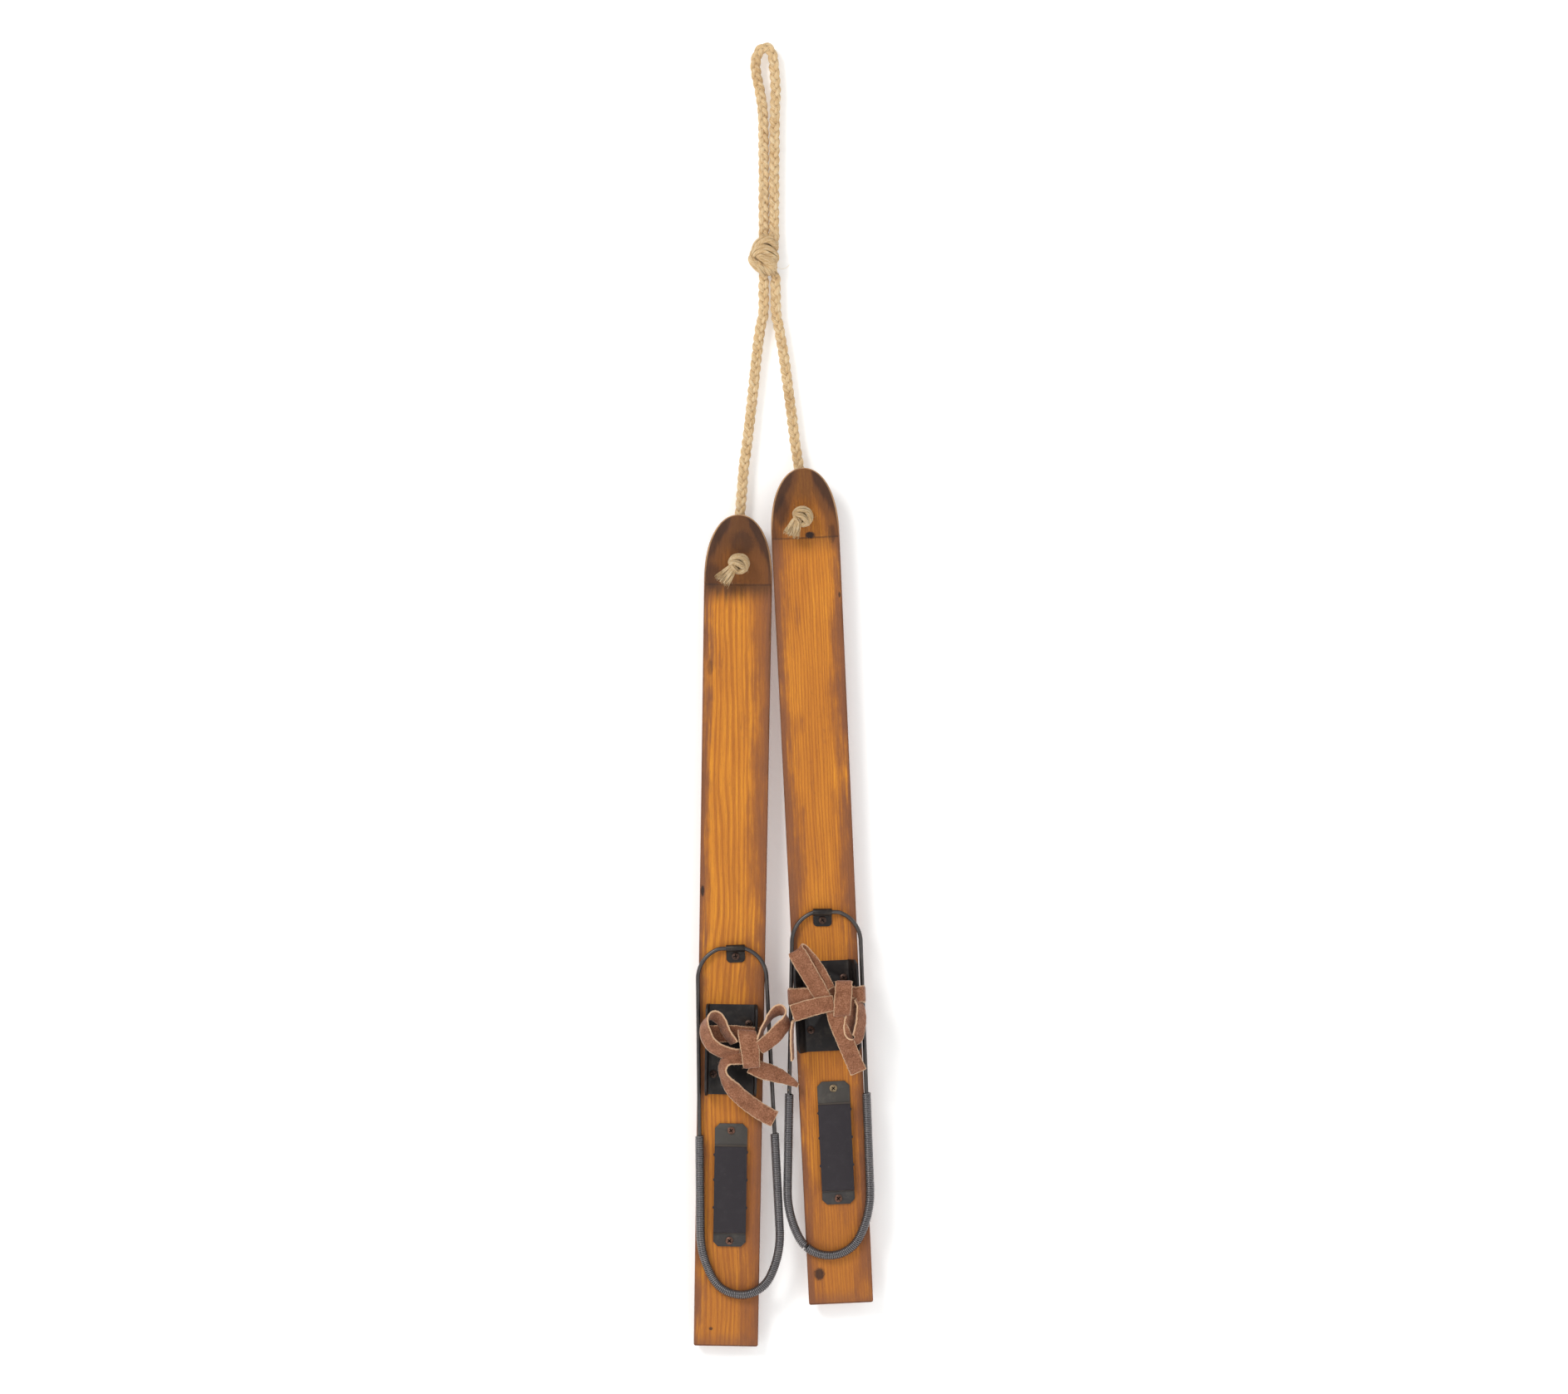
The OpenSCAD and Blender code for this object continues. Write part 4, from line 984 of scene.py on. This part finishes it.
def heelMaterial(side):
    sh = Shade("heelPlate_" + side)
    p = skiPlace(sh, side)
    s = -sh.part(p, "Z")
    q = sh.place()
    mottle = sh.noise(q, 150, 4, 0.6)
    grit = sh.noise(q, 2100, 2)
    top = heelLook["s"][side]
    high = top + heelLook["long"] - heelLook["slope"] - heelLook["mid"]
    low = top + heelLook["long"] - heelLook["slope"]
    raised = s.rise(high - 0.6, high + 0.4) * (1.0 - s.rise(low - 0.4, low + 0.6))
    colour = sh.mix(metalLook["tab"], (0.035, 0.031, 0.031), s.rise(low - 4.0, low) * 0.8)
    colour = sh.mix(colour, (0.10, 0.088, 0.07), mottle.rise(0.5, 0.75) * 0.4)
    matte = sh.mix(metalLook["plate"], (0.042, 0.035, 0.040), mottle.rise(0.42, 0.75) * 0.35)
    colour = sh.mix(colour, matte, raised)
    bendLine = (1.0 - abs(s - high).rise(0.15, 0.75)) * 0.6 + (1.0 - abs(s - low).rise(0.15, 0.75)) * 0.3
    colour = sh.mix(colour, (0.15, 0.125, 0.10), bendLine)
    scratch = sh.noise(sh.stretch(p, (0.55, 0.2, 2.4), (7, 3, 1)), 1.0, 2).rise(0.70, 0.75) * 0.3
    dust = sh.cells(q, 520).rise(0.09, 0.04) * mottle.rise(0.52, 0.6)
    colour = sh.mix(colour, (0.16, 0.14, 0.12), (scratch * mottle.rise(0.45, 0.6) + dust * 0.5).atMost(1.0))
    rough = 0.50 + raised * 0.14 + (mottle - 0.5) * 0.15
    normal = sh.bump(grit * 0.5 + mottle, 0.2, 0.0002)
    return sh.finish(colour, rough, normal, Metallic=0.2, Specular_IOR_Level=0.4)


barSetup = {
    "left": {"x": 0.1, "s": 311.9, "tilt": 2.7, "off": -0.7, "clip": 2.3},
    "right": {"x": 1.5, "s": 319.7, "tilt": -2.1, "off": 0.7, "clip": -1.9},
}

riserMaterial = metalMaterial("riserPad", (0.022, 0.019, 0.022), (0.06, 0.05, 0.05), 0.62, 0.3, 0.2, 0.0)

for side in sides:
    iron = softened("toe_iron_" + side, "toeIron_" + side, blackMetal, body="ski_" + side)
    bar = barSetup[side]
    slide = onBoard(side, 0, 0, [[bar["clip"], 0, 0]], bar["tilt"])[0] - onBoard(side, 0, 0, [[0, 0, 0]], bar["tilt"])[0]
    clip = softened("toe_clip_" + side, "toeClip_" + side, clipMetal, 0.0002, body="ski_" + side, slide=slide)  # along the bar
    heel = softened("heel_plate_" + side, "heelPlate_" + side, heelMaterial(side), 0.00022, body="ski_" + side)
    riser = softened("heel_riser_" + side, "heelRiser_" + side, riserMaterial, 0.0003, body="ski_" + side)
print("sheet metal made")


# screws
screwLook = {
    "copper": (0.165, 0.082, 0.056), "brass": (0.30, 0.22, 0.13), "dark": (0.095, 0.054,
        0.040), "head": 2.75, "dome": 1.4, "cross": 1.65, "slot": 0.36,
}


def screwMaterial(name, base):
    sh = Shade(name)
    p = sh.place()
    mottle = sh.noise(p, 420, 3)
    grit = sh.noise(p, 2400, 2)
    colour = sh.mix(base, (0.03, 0.02, 0.016), mottle.rise(0.44, 0.66) * 0.6)
    # painted shade: the cross recess is darkened to near black
    colour = sh.mix(colour, (0.012, 0.008, 0.007), sh.attribute("sunk"))
    return sh.finish(colour, 0.36 + mottle * 0.25, sh.bump(grit, 0.2, 0.00015), Metallic=0.75)


screwTones = {tone: screwMaterial(tone + "Screw", screwLook[tone]) for tone in ("copper", "brass", "dark")}
screwPlaces = {
    "left": {
        "toe_clip_screw_left": (None, 1.0, 8, "dark"),
        "toe_iron_screw_upper_left": ((12.9, 366.1), 1.6, 30, "dark"),
        "toe_iron_screw_lower_left": ((-12.1, 402.6), 1.6, 12, "dark"),
        "heel_screw_upper_left": ((1.4, 443.1), 1.4, 40, "copper"),
        "heel_screw_lower_left": ((1.4, 522.4), 1.4, 44, "copper"),
    },
    "right": {
        "toe_clip_screw_right": (None, 1.0, 35, "dark"),
        "toe_iron_screw_upper_right": ((12.6, 367.5), 1.6, 24, "dark"),
        "toe_iron_screw_lower_right": ((-12.7, 404.0), 1.6, 5, "dark"),
        "heel_screw_upper_right": ((1.6, 446.7), 1.4, 44, "brass"),
        "heel_screw_lower_right": ((1.6, 526.0), 1.4, 38, "copper"),
    },
}


def pieceName(node):
    # toe_clip_screw_left becomes toeClipScrew_left
    words = node.split("_")
    return words[0] + "".join(w.capitalize() for w in words[1:-1]) + "_" + words[-1]


def screwHead(name, toWorld, material, spin, body, node):
    # domed head with a tapered cross recess, cut as a polar height field
    k = 64
    look = screwLook
    radii = np.concatenate([np.linspace(0.14, 1.9, 12), np.linspace(2.1, look["head"], 5)])
    pts, rows, sunk = [], [], []
    sphere = 5.2
    for r in radii:
        row = []
        for j in range(k):
            a = 2 * pi * j / k
            u, v = r * cos(a), r * sin(a)
            h = sqrt(sphere ** 2 - r ** 2) - sphere + look["dome"]
            arm = min(abs(u), abs(v))
            reach = max(abs(u), abs(v))
            depth = np.clip((look["slot"] - arm) / 0.12, 0, 1) * np.clip((look["cross"] - reach) / 0.3, 0, 1)
            h -= depth * (1.1 - 0.25 * reach / look["cross"])
            # recess points are marked for painted shade
            sunk.append(depth)
            row.append(len(pts))
            pts.append((u, v, h))
        rows.append(row)
    skirt = []
    for r, h in ((look["head"], 0.1), (look["head"] - 0.12, 0.0)):
        skirt.append([len(pts) + j for j in range(k)])
        pts += [(r * cos(2 * pi * j / k), r * sin(2 * pi * j / k), h) for j in range(k)]
    shank = []
    for r, h in ((1.35, 0.0), (1.35, -5.2), (0.3, -7.2)):
        shank.append([len(pts) + j for j in range(k)])
        pts += [(r * cos(2 * pi * j / k), r * sin(2 * pi * j / k), h) for j in range(k)]
    pts.append((0, 0, look["dome"] - 1.0))
    centre = len(pts) - 1
    faces = [(centre, rows[0][j], rows[0][(j + 1) % k]) for j in range(k)]
    stack = rows + skirt + shank
    for a, b in zip(stack, stack[1:]):
        faces += [(a[j], b[j], b[(j + 1) % k], a[(j + 1) % k]) for j in range(k)]
    faces.append(tuple(reversed(stack[-1])))
    a = radians(spin)
    p = np.array(pts)
    p = np.stack([p[:, 0] * cos(a) - p[:, 1] * sin(a), p[:, 0] * sin(a) + p[:, 1] * cos(a), p[:, 2]], 1)
    piece = Piece()
    sunk += [0.0] * (len(pts) - len(sunk) - 1) + [1.0]
    piece.put(toWorld(p), faces, sunk=sunk)
    obj = piece.make(name, material, rides=body)
    sharpen(obj.data, 50)
    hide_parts(node)


def screwSeat(side, at, sheet):
    # a screw stands on the clip, or on sheet metal at a place on the board
    bar = barSetup[side]

    def onClip(p):
        return onBoard(side, bar["x"], bar["s"], p + np.array([bar["clip"], -5.8, 1.0]), bar["tilt"])

    def onSheet(p):
        return onBoard(side, at[0], at[1], p + np.array([0, 0, sheet]))

    return onClip if at is None else onSheet


for side in sides:
    for node, (at, sheet, spin, tone) in screwPlaces[side].items():
        screwHead(pieceName(node), screwSeat(side, at, sheet), screwTones[tone], spin, "ski_" + side, node)
print("screws made")


# bails
bailShape = {
    "barHalf": 7.5, "turn": (7.0, 20.0), "wire": 1.5, "lift": 3.6,
    "left": {"side": 88.8, "arch": 22.45, "straight": 182.5, "hipRadius": 68.0, "hip": 118.0, "coilFrom": 134.5},
    "right": {"side": 88.4, "arch": 22.5, "straight": 178.0, "hipRadius": 72.0, "hip": 117.0, "coilFrom": 131.0},
}
coilLook = {"ring": 2.64, "wire": 0.68, "pitch": 1.34, "steps": 16, "around": 6, "core": 2.35}


def bailHalf(side):
    # half of the closed wire from the middle of the bar to the middle of the foot, x and y in its own plane
    shape = bailShape[side]
    pts = [np.array([0.0, 0.0]), np.array([bailShape["barHalf"], 0.0])]
    marks = {}

    def arc(radius, a0, a1):
        start = pts[-1]
        for k in range(1, 1 + max(6, int(abs(a1 - a0) / 2.0))):
            a = a0 + (a1 - a0) * k / max(6, int(abs(a1 - a0) / 2.0))
            pts.append(start + radius * np.array([sin(radians(a)) - sin(radians(a0)), cos(radians(a)) - cos(radians(a0))]))

    turnR, turnA = bailShape["turn"]
    arc(turnR, 0, turnA)
    arc(shape["arch"], turnA, shape["side"])
    marks["side"] = pts[-1].copy()
    way = np.array([cos(radians(shape["side"])), -sin(radians(shape["side"]))])
    for k in range(1, 46):
        pts.append(marks["side"] + way * shape["straight"] * k / 45)
    arc(shape["hipRadius"], shape["side"], shape["hip"])
    foot = pts[-1][0] / sin(radians(shape["hip"]))
    arc(foot, shape["hip"], 180)
    marks["coil"] = marks["side"] + way * (shape["coilFrom"] - 21.5)
    return np.array(pts), marks


def bailLine(side, flat):
    bar = barSetup[side]
    p = np.concatenate([flat + np.array([bar["off"], 0]), np.full((len(flat), 1), bailShape["lift"])], 1)
    return onBoard(side, bar["x"], bar["s"], p, bar["tilt"])


def closedTube(name, line, radius, material, body):
    # seamless ring of wire
    piece = Piece()
    k, m = 14, len(line)
    t = unit(np.roll(line, -1, 0) - np.roll(line, 1, 0))
    n = np.tile(np.array([0, 1.0, 0]), (m, 1))
    n = unit(n - (n * t).sum(1)[:, None] * t)
    b = np.cross(t, n)
    a = np.linspace(0, 2 * pi, k, endpoint=False)
    ring = line[:, None] + radius * (np.cos(a)[None, :, None] * n[:, None] + np.sin(a)[None, :, None] * b[:, None])
    faces = [(i * k + j, i * k + (j + 1) % k, ((i + 1) % m) * k + (j + 1) % k, ((i + 1) % m) * k + j) for i in range(m) for j in range(k)]
    piece.put(ring.reshape(-1, 3), faces)
    return piece.make(name, material, rides=body)


def addCoil(piece, line):
    # close-wound spring along a line
    look = coilLook
    run = runOf(line)
    turns = run[-1] / look["pitch"]
    count = int(turns * look["steps"])
    at = np.linspace(0, run[-1], count)
    mid = np.stack([np.interp(at, run, line[:, k]) for k in range(3)], 1)
    t = headings(mid)
    n = np.tile(np.array([0, 1.0, 0]), (count, 1))
    n = unit(n - (n * t).sum(1)[:, None] * t)
    b = np.cross(t, n)
    phase = 2 * pi * at / look["pitch"]
    helix = mid + look["ring"] * (np.cos(phase)[:, None] * n + np.sin(phase)[:, None] * b)
    out = unit(helix - mid)
    way = headings(helix)
    up = unit(np.cross(way, out))
    a = np.linspace(0, 2 * pi, look["around"], endpoint=False)
    ring = helix[:, None] + look["wire"] * (np.cos(a)[None, :, None] * out[:, None] + np.sin(a)[None, :, None] * up[:, None])
    piece.put(ring.reshape(-1, 3), ringFaces(count, look["around"]))
    # a dark core fills the spring; coloured near black, it is painted shade between the turns
    core = spaced(line, 2.0)
    addTube(piece, core, look["core"], 10, first=(0, 1, 0), sunk=np.ones(10 * len(core)))


coilSteel = metalMaterial("coilSteel", (0.165, 0.156, 0.160), (0.30, 0.27, 0.25), 0.26, 0.3, 0.2, 0.85, sunk=True)


def makeBail(side):
    half, marks = bailHalf(side)
    whole = np.concatenate([half, half[-2:0:-1] * np.array([-1, 1])])
    closed = np.concatenate([whole, whole[:1]])
    line = spaced(closed, 1.2)[:-1]
    body = "bail_" + side
    wire = closedTube("bailWire_" + side, bailLine(side, line), bailShape["wire"], wireMetal, body)
    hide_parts("bail_wire_" + side)
    # spring from one arm round the foot to the other arm
    below = [i for i in range(len(half)) if half[i, 1] < marks["coil"][1]]
    arm = np.concatenate([[marks["coil"]], half[below]])
    round_ = np.concatenate([arm, (arm * np.array([-1, 1]))[-2::-1]])
    run = spaced(round_, 0.5)
    cad = bailLine(side, run)
    if side == "left":
        piece = Piece()
        addCoil(piece, cad)
        obj = piece.make("coilSleeve_left", coilSteel, rides=body)
        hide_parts("coil_sleeve_left")
        return
    # the right sleeve is two springs that butt together near the foot
    centre = np.array([0.0, half[-1][1] + footRadius(side)])
    angle = np.degrees(np.arctan2(run[:, 1] - centre[1], run[:, 0] - centre[0])) % 360
    cut = int(np.argmin(np.abs(angle - 225.8) + (run[:, 1] > centre[1]) * 999))
    for name, part, node in (("coilSleeve_right", cad[:cut - 1], "coil_sleeve_right"), ("coilSleeveEnd_right", cad[cut + 1:],
        "coil_sleeve_end_right")):
        piece = Piece()
        addCoil(piece, part)
        obj = piece.make(name, coilSteel, rides=body)
        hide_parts(node)


def footRadius(side):
    # radius of the foot's bend
    shape = bailShape[side]
    half = bailHalf(side)[0]
    i = len(half) - 1 - max(6, int(abs(180 - shape["hip"]) / 2.0))
    return half[i][0] / sin(radians(shape["hip"]))


for side in sides:
    makeBail(side)
print("bails made")


# suede laces
laceLook = {
    "face": (0.270, 0.112, 0.059), "dark": (0.135, 0.052, 0.026), "light": (0.43, 0.215, 0.130),
    "rim": (0.74, 0.50, 0.31), "wide": 12.0, "thick": 1.9, "step": 1.1, "across": 8,
}


def suedeMaterial():
    sh = Shade("suede")
    p = sh.place()
    rim = sh.attribute("rim")
    nap = sh.noise(p, 1150, 4, 0.72)
    cloud = sh.noise(p, 170, 3, 0.55)
    pile = sh.noise(p, 2800, 2, 0.6)
    tone = nap * 0.78 + cloud * 0.26 - 0.02
    colour = sh.ramp(tone.rise(0.30, 0.74), [(0.0, laceLook["dark"]), (0.5, laceLook["face"]), (1.0, laceLook["light"])])
    fuzz = (rim + (nap - 0.5) * 0.9).rise(0.35, 0.85)
    colour = sh.mix(colour, laceLook["rim"], fuzz * 0.75)
    colour = sh.mix(colour, (0.55, 0.33, 0.21), pile.rise(0.66, 0.8) * 0.35)
    normal = sh.bump(nap * 0.6 + pile * 0.5 + cloud * 0.5, 0.55, 0.0005)
    return sh.finish(colour, 0.94, normal, Sheen_Weight=0.22, Sheen_Roughness=0.45, Specular_IOR_Level=0.15)


suede = suedeMaterial()


def addThong(piece, side, route, wideWay, widths=None, seed=0):
    # flat leather strip along a route given on the ski; its edges are a little uneven
    look = laceLook
    q = smoothRoute(route, look["step"])
    u = np.linspace(0, 1, len(q))
    w = np.stack([np.interp(u, np.linspace(0, 1, len(wideWay)), np.asarray(wideWay, float)[:, k]) for k in range(3)], 1)
    t = headings(q)
    a = unit(w - (w * t).sum(1)[:, None] * t)
    b = np.cross(t, a)
    widths = [look["wide"]] * 2 if widths is None else widths
    size = np.interp(u, np.linspace(0, 1, len(widths)), np.asarray(widths, float))
    local = np.random.default_rng(seed + 5)

    def wobble(amp):
        return sum(amp * local.uniform(0.3, 1) * np.sin(runOf(q) * f + local.uniform(0, 6)) for f in (0.22, 0.6, 1.3))

    left, right = size / 2 + wobble(0.11), size / 2 + wobble(0.11)
    lift = wobble(0.16)
    h = look["thick"] / 2
    cols = look["across"]
    # section: front from -1 to 1, then back
    front = [(-1 + 2 * j / cols, 1) for j in range(cols + 1)]
    section = front + [(1.0, 0.0)] + [(-x, -y) for x, y in front] + [(-1.0, 0.0)]
    rows, rims = [], []
    for i in range(len(q)):
        fromEnd = min(i, len(q) - 1 - i)
        for x, y in section:
            reach = right[i] if x > 0 else left[i]
            eased = 1.0 - max(abs(x) - 0.86, 0) / 0.14 * 0.45
            xx = x * reach * (1.0 if y else 1.02)
            yy = y * h * eased
            rows.append(q[i] + a[i] * xx + b[i] * (yy + lift[i] * (1 - abs(x) * 0.3)))
            rims.append(max(1.0 if y == 0 else max(abs(x) - 0.78, 0) / 0.22 * 0.75, 1.0 if fromEnd == 0 else 0.0))
    piece.put(onSki(side, rows), ringFaces(len(q), len(section)), rim=rims)


def addLint(piece, side, route, wideWay, count, seed=0):
    # short fluff on the cut edges of a strip
    look = laceLook
    q = smoothRoute(route, look["step"])
    u = np.linspace(0, 1, len(q))
    w = np.stack([np.interp(u, np.linspace(0, 1, len(wideWay)), np.asarray(wideWay, float)[:, k]) for k in range(3)], 1)
    t = headings(q)
    a = unit(w - (w * t).sum(1)[:, None] * t)
    b = np.cross(t, a)
    local = np.random.default_rng(seed + 77)
    for _ in range(count):
        i = int(local.integers(1, len(q) - 1))
        k = local.choice([-1, 1])
        start = q[i] + a[i] * k * (look["wide"] / 2 - 0.2) + b[i] * local.uniform(-0.8, 0.8)
        way = unit(a[i] * k + t[i] * local.uniform(-0.8, 0.8) + b[i] * local.uniform(-0.6, 0.6))
        hair = start + way * np.linspace(0, local.uniform(0.5, 1.3), 3)[:, None]
        hair = onSki(side, hair)
        tt = headings(hair)
        m = 3
        ang = np.linspace(0, 2 * pi, 3, endpoint=False)
        n = carried(tt, unit(np.cross(tt[0], (0.3, 0.5, 0.8))))
        bb = np.cross(tt, n)
        rad = np.array([0.09, 0.07, 0.03])
        ring = hair[:, None] + rad[:, None, None] * (np.cos(ang)[None, :, None] * n[:, None] + np.sin(ang)[None, :, None] * bb[:, None])
        piece.put(ring.reshape(-1, 3), ringFaces(m, 3), rim=np.ones(9))


laces = {
    "left": {
        "lace_band_left": {"route": [(-20.2, -17.5, -373.3), (-15.7, -17.6, -373.3), (-7.8, -19.4, -373), (2.2, -20.4, -372.7),
            (11.1, -19.6, -373.6), (17.6, -17.7, -374.1), (21.7, -17.5, -374.1)], "wide": [(0, 0.1, 1)] * 3},
        "lace_knot_left": {"route": [(11.8, -24.5, -371.5), (11.8, -29.5, -370.3), (12.2, -33.2, -372.6), (13.1, -34.2, -377.5),
            (14.4, -34.4, -384.4), (15, -33.8, -390.8), (15.4, -30.6, -395.2), (15.3, -25.6, -395.4)],
            "wide": [(1, 0, -0.08), (1, 0, 0.0), (1, 0.05, 0.1)], "widths": [12.8, 13.4, 13.2, 12.2, 11]},
        "lace_bow_outer_left": {"route": [(5.8, -28, -387.4), (-0.7, -29.8, -386.3), (-8.2, -32, -383.6), (-14.9, -33.8, -377.9),
            (-18.3, -34.4, -368.6), (-16.9, -33.6, -361.3), (-12, -32, -359), (-6.8, -30.2, -363.5), (-2.7, -28.8, -371.5),
            (2.9, -28, -378.9)], "wide": [(-0.5, 0.5, -0.7), (-0.42, 0.62, -0.62), (-0.4, 0.66, -0.6), (-0.3, 0.75, -0.5), (-0.2,
            0.8, -0.5)],
            "widths": [11, 12, 12.5, 12.5, 12, 11]},
        "lace_bow_inner_left": {"route": [(20.1, -29.6, -375.4), (22.9, -30.2, -368.3), (28.3, -32, -359.4), (34.6, -34, -354.3),
            (38.6, -35.2, -356.6), (38.8, -36, -362.9), (33.8, -35.8, -370.1), (27.7, -34.6, -376.3), (20.3, -33, -382.1)],
            "wide": [(0.1, 0.95, -0.2), (0.1, 0.85, -0.35), (0.2, 0.5, -0.75), (0.2, 0.35, -0.9), (0.2, 0.3, -0.9)],
            "widths": [11, 12, 12, 12, 11.5, 10]},
        "lace_tail_low_left": {"route": [(9.2, -29.6, -388.1), (3.7, -30.2, -388.5), (-1.9, -29.8, -390.5), (-5.1, -28.4, -395.4),
        (-4.3, -26.8, -402.2),
            (0.8, -24.8, -409.9), (8, -22.2, -417.7), (16.4, -19.8, -424.5), (25.6, -17.8, -430.2), (32.7, -16.5, -433.7)],
            "wide": [(0, 0.15, 1), (-0.2, 0.7, 0.65), (-0.6, 0.75, 0.1), (-0.85, 0.2, -0.3), (-0.7, 0, -0.6), (-0.55, 0, -0.8),
            (-0.5, 0, -0.85)],
            "widths": [11.5, 11.5, 11.5, 12, 12, 12.2, 12]},
        "lace_tail_side_left": {"route": [(14.6, -26.2, -394.5), (22.5, -26, -398.1), (31, -23.2, -400.7), (38, -20.4, -403.4),
            (44.3, -18.4, -406.7), (48.9, -17.4, -409.6)], "wide": [(0.25, 0.1, 1)] * 3, "widths": [11, 12, 12, 10.5, 7, 3.0]},
    },
    "right": {
        "lace_band_right": {"route": [(1.3, -35.6, -379.7), (-8.1, -35.6, -378.9), (-17, -35, -378.4), (-24.2, -33.9, -378.2),
        (-26.7, -30.2, -378.5), (-26.8, -24.4, -378.6),
            (-24.6, -18.6, -378.8), (-19, -16.9, -379.1), (-0.1, -16.9, -379.3), (18.8, -16.9, -379.5), (24.4, -18.6, -379.6),
            (26.6, -24.4, -379.2), (26.4, -30.2, -378.7), (23.9, -34, -378.4), (16.6, -35.6, -379.1)],
            "wide": [(0, 0.1, 1)] * 3, "widths": [11, 12, 12, 12, 12, 12, 11]},
        "lace_front_right": {"route": [(-25.5, -38.4, -389.8), (-17, -39.8, -387.4), (-7.2, -40.6, -385.1), (4.7, -40.6, -383.3)],
            "wide": [(0.16, 0, 1), (0.14, 0.05, 1), (0.1, 0.1, 1)], "widths": [12, 12.4, 12, 10.5]},
        "lace_knot_right": {"route": [(12.5, -33.5, -369.8), (12.4, -38.4, -368.9), (12.2, -41.8, -371.2), (11.7, -42.8, -376.1),
            (11, -43, -382), (10.4, -42.4, -388), (9.8, -39.4, -392.3), (9.9, -34.4, -392.5)],
            "wide": [(1, 0, -0.06), (1, 0, 0.0), (1, 0.05, 0.08)], "widths": [11.5, 12, 12.4, 12, 11]},
        "lace_bow_upper_right": {"route": [(-0, -38, -384.5), (-3, -38.2, -379.2), (-8.5, -39, -368.6), (-14.3, -40.2, -357.7),
            (-19.2, -40.8, -348.2), (-19.8, -39.2, -345.3), (-16.6, -37.4, -346.6), (-10.5, -36.2, -354.3), (-4.4, -36.4,
            -364.2), (1.4, -37.2, -374.3)],
            "wide": [(0.84, -0.1, 0.5), (0.84, -0.1, 0.5), (0.84, -0.05, 0.5), (0.84, 0.05, 0.5), (0.84, 0.1, 0.5)],
            "widths": [10, 12, 12.6, 12.6, 12, 12, 10]},
        "lace_bow_lower_right": {"route": [(19.6, -35, -380.7), (16.6, -34.8, -391.8), (14.4, -34.4, -402), (15.2, -34.2, -408.5),
            (18.2, -34, -411.1), (21.2, -33.8, -407.2), (23.4, -33.6, -397.1), (23.2, -33.8, -387.8), (20.4, -34.4, -381.2)],
            "wide": [(0.475, 0.71, -0.525)] * 3, "widths": [10, 11.5, 12, 12, 11.5, 10]},
        "lace_tail_low_right": {"route": [(4.1, -38.6, -387.9), (6.1, -38.4, -396.7), (10.1, -37, -407.5), (14.9, -32.2, -421), (20,
        -26.8, -434.5)],
            "wide": [(1, 0, 0.2), (0.95, 0, 0.35), (0.93, 0, 0.37)], "widths": [11, 12, 12, 12, 12]},
        "lace_tail_hang_right": {"route": [(-25.2, -37.2, -394.8), (-26.3, -36, -402.4), (-26.7, -34, -412.1), (-26.9, -32, -422.9)],
            "wide": [(0.12, 1, 0)] * 3, "widths": [12, 12, 12, 11]},
    },
}

for side in sides:
    for k, (node, strip) in enumerate(laces[side].items()):
        piece = Piece()
        addThong(piece, side, strip["route"], strip["wide"], strip.get("widths"), seed=k + (0 if side == "left" else 20))
        addLint(piece, side, strip["route"], strip["wide"], int(len(strip["route"]) * 9), seed=k)
        obj = piece.make(pieceName(node), suede, rides="ski_" + side)
        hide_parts(node)
print("laces made")
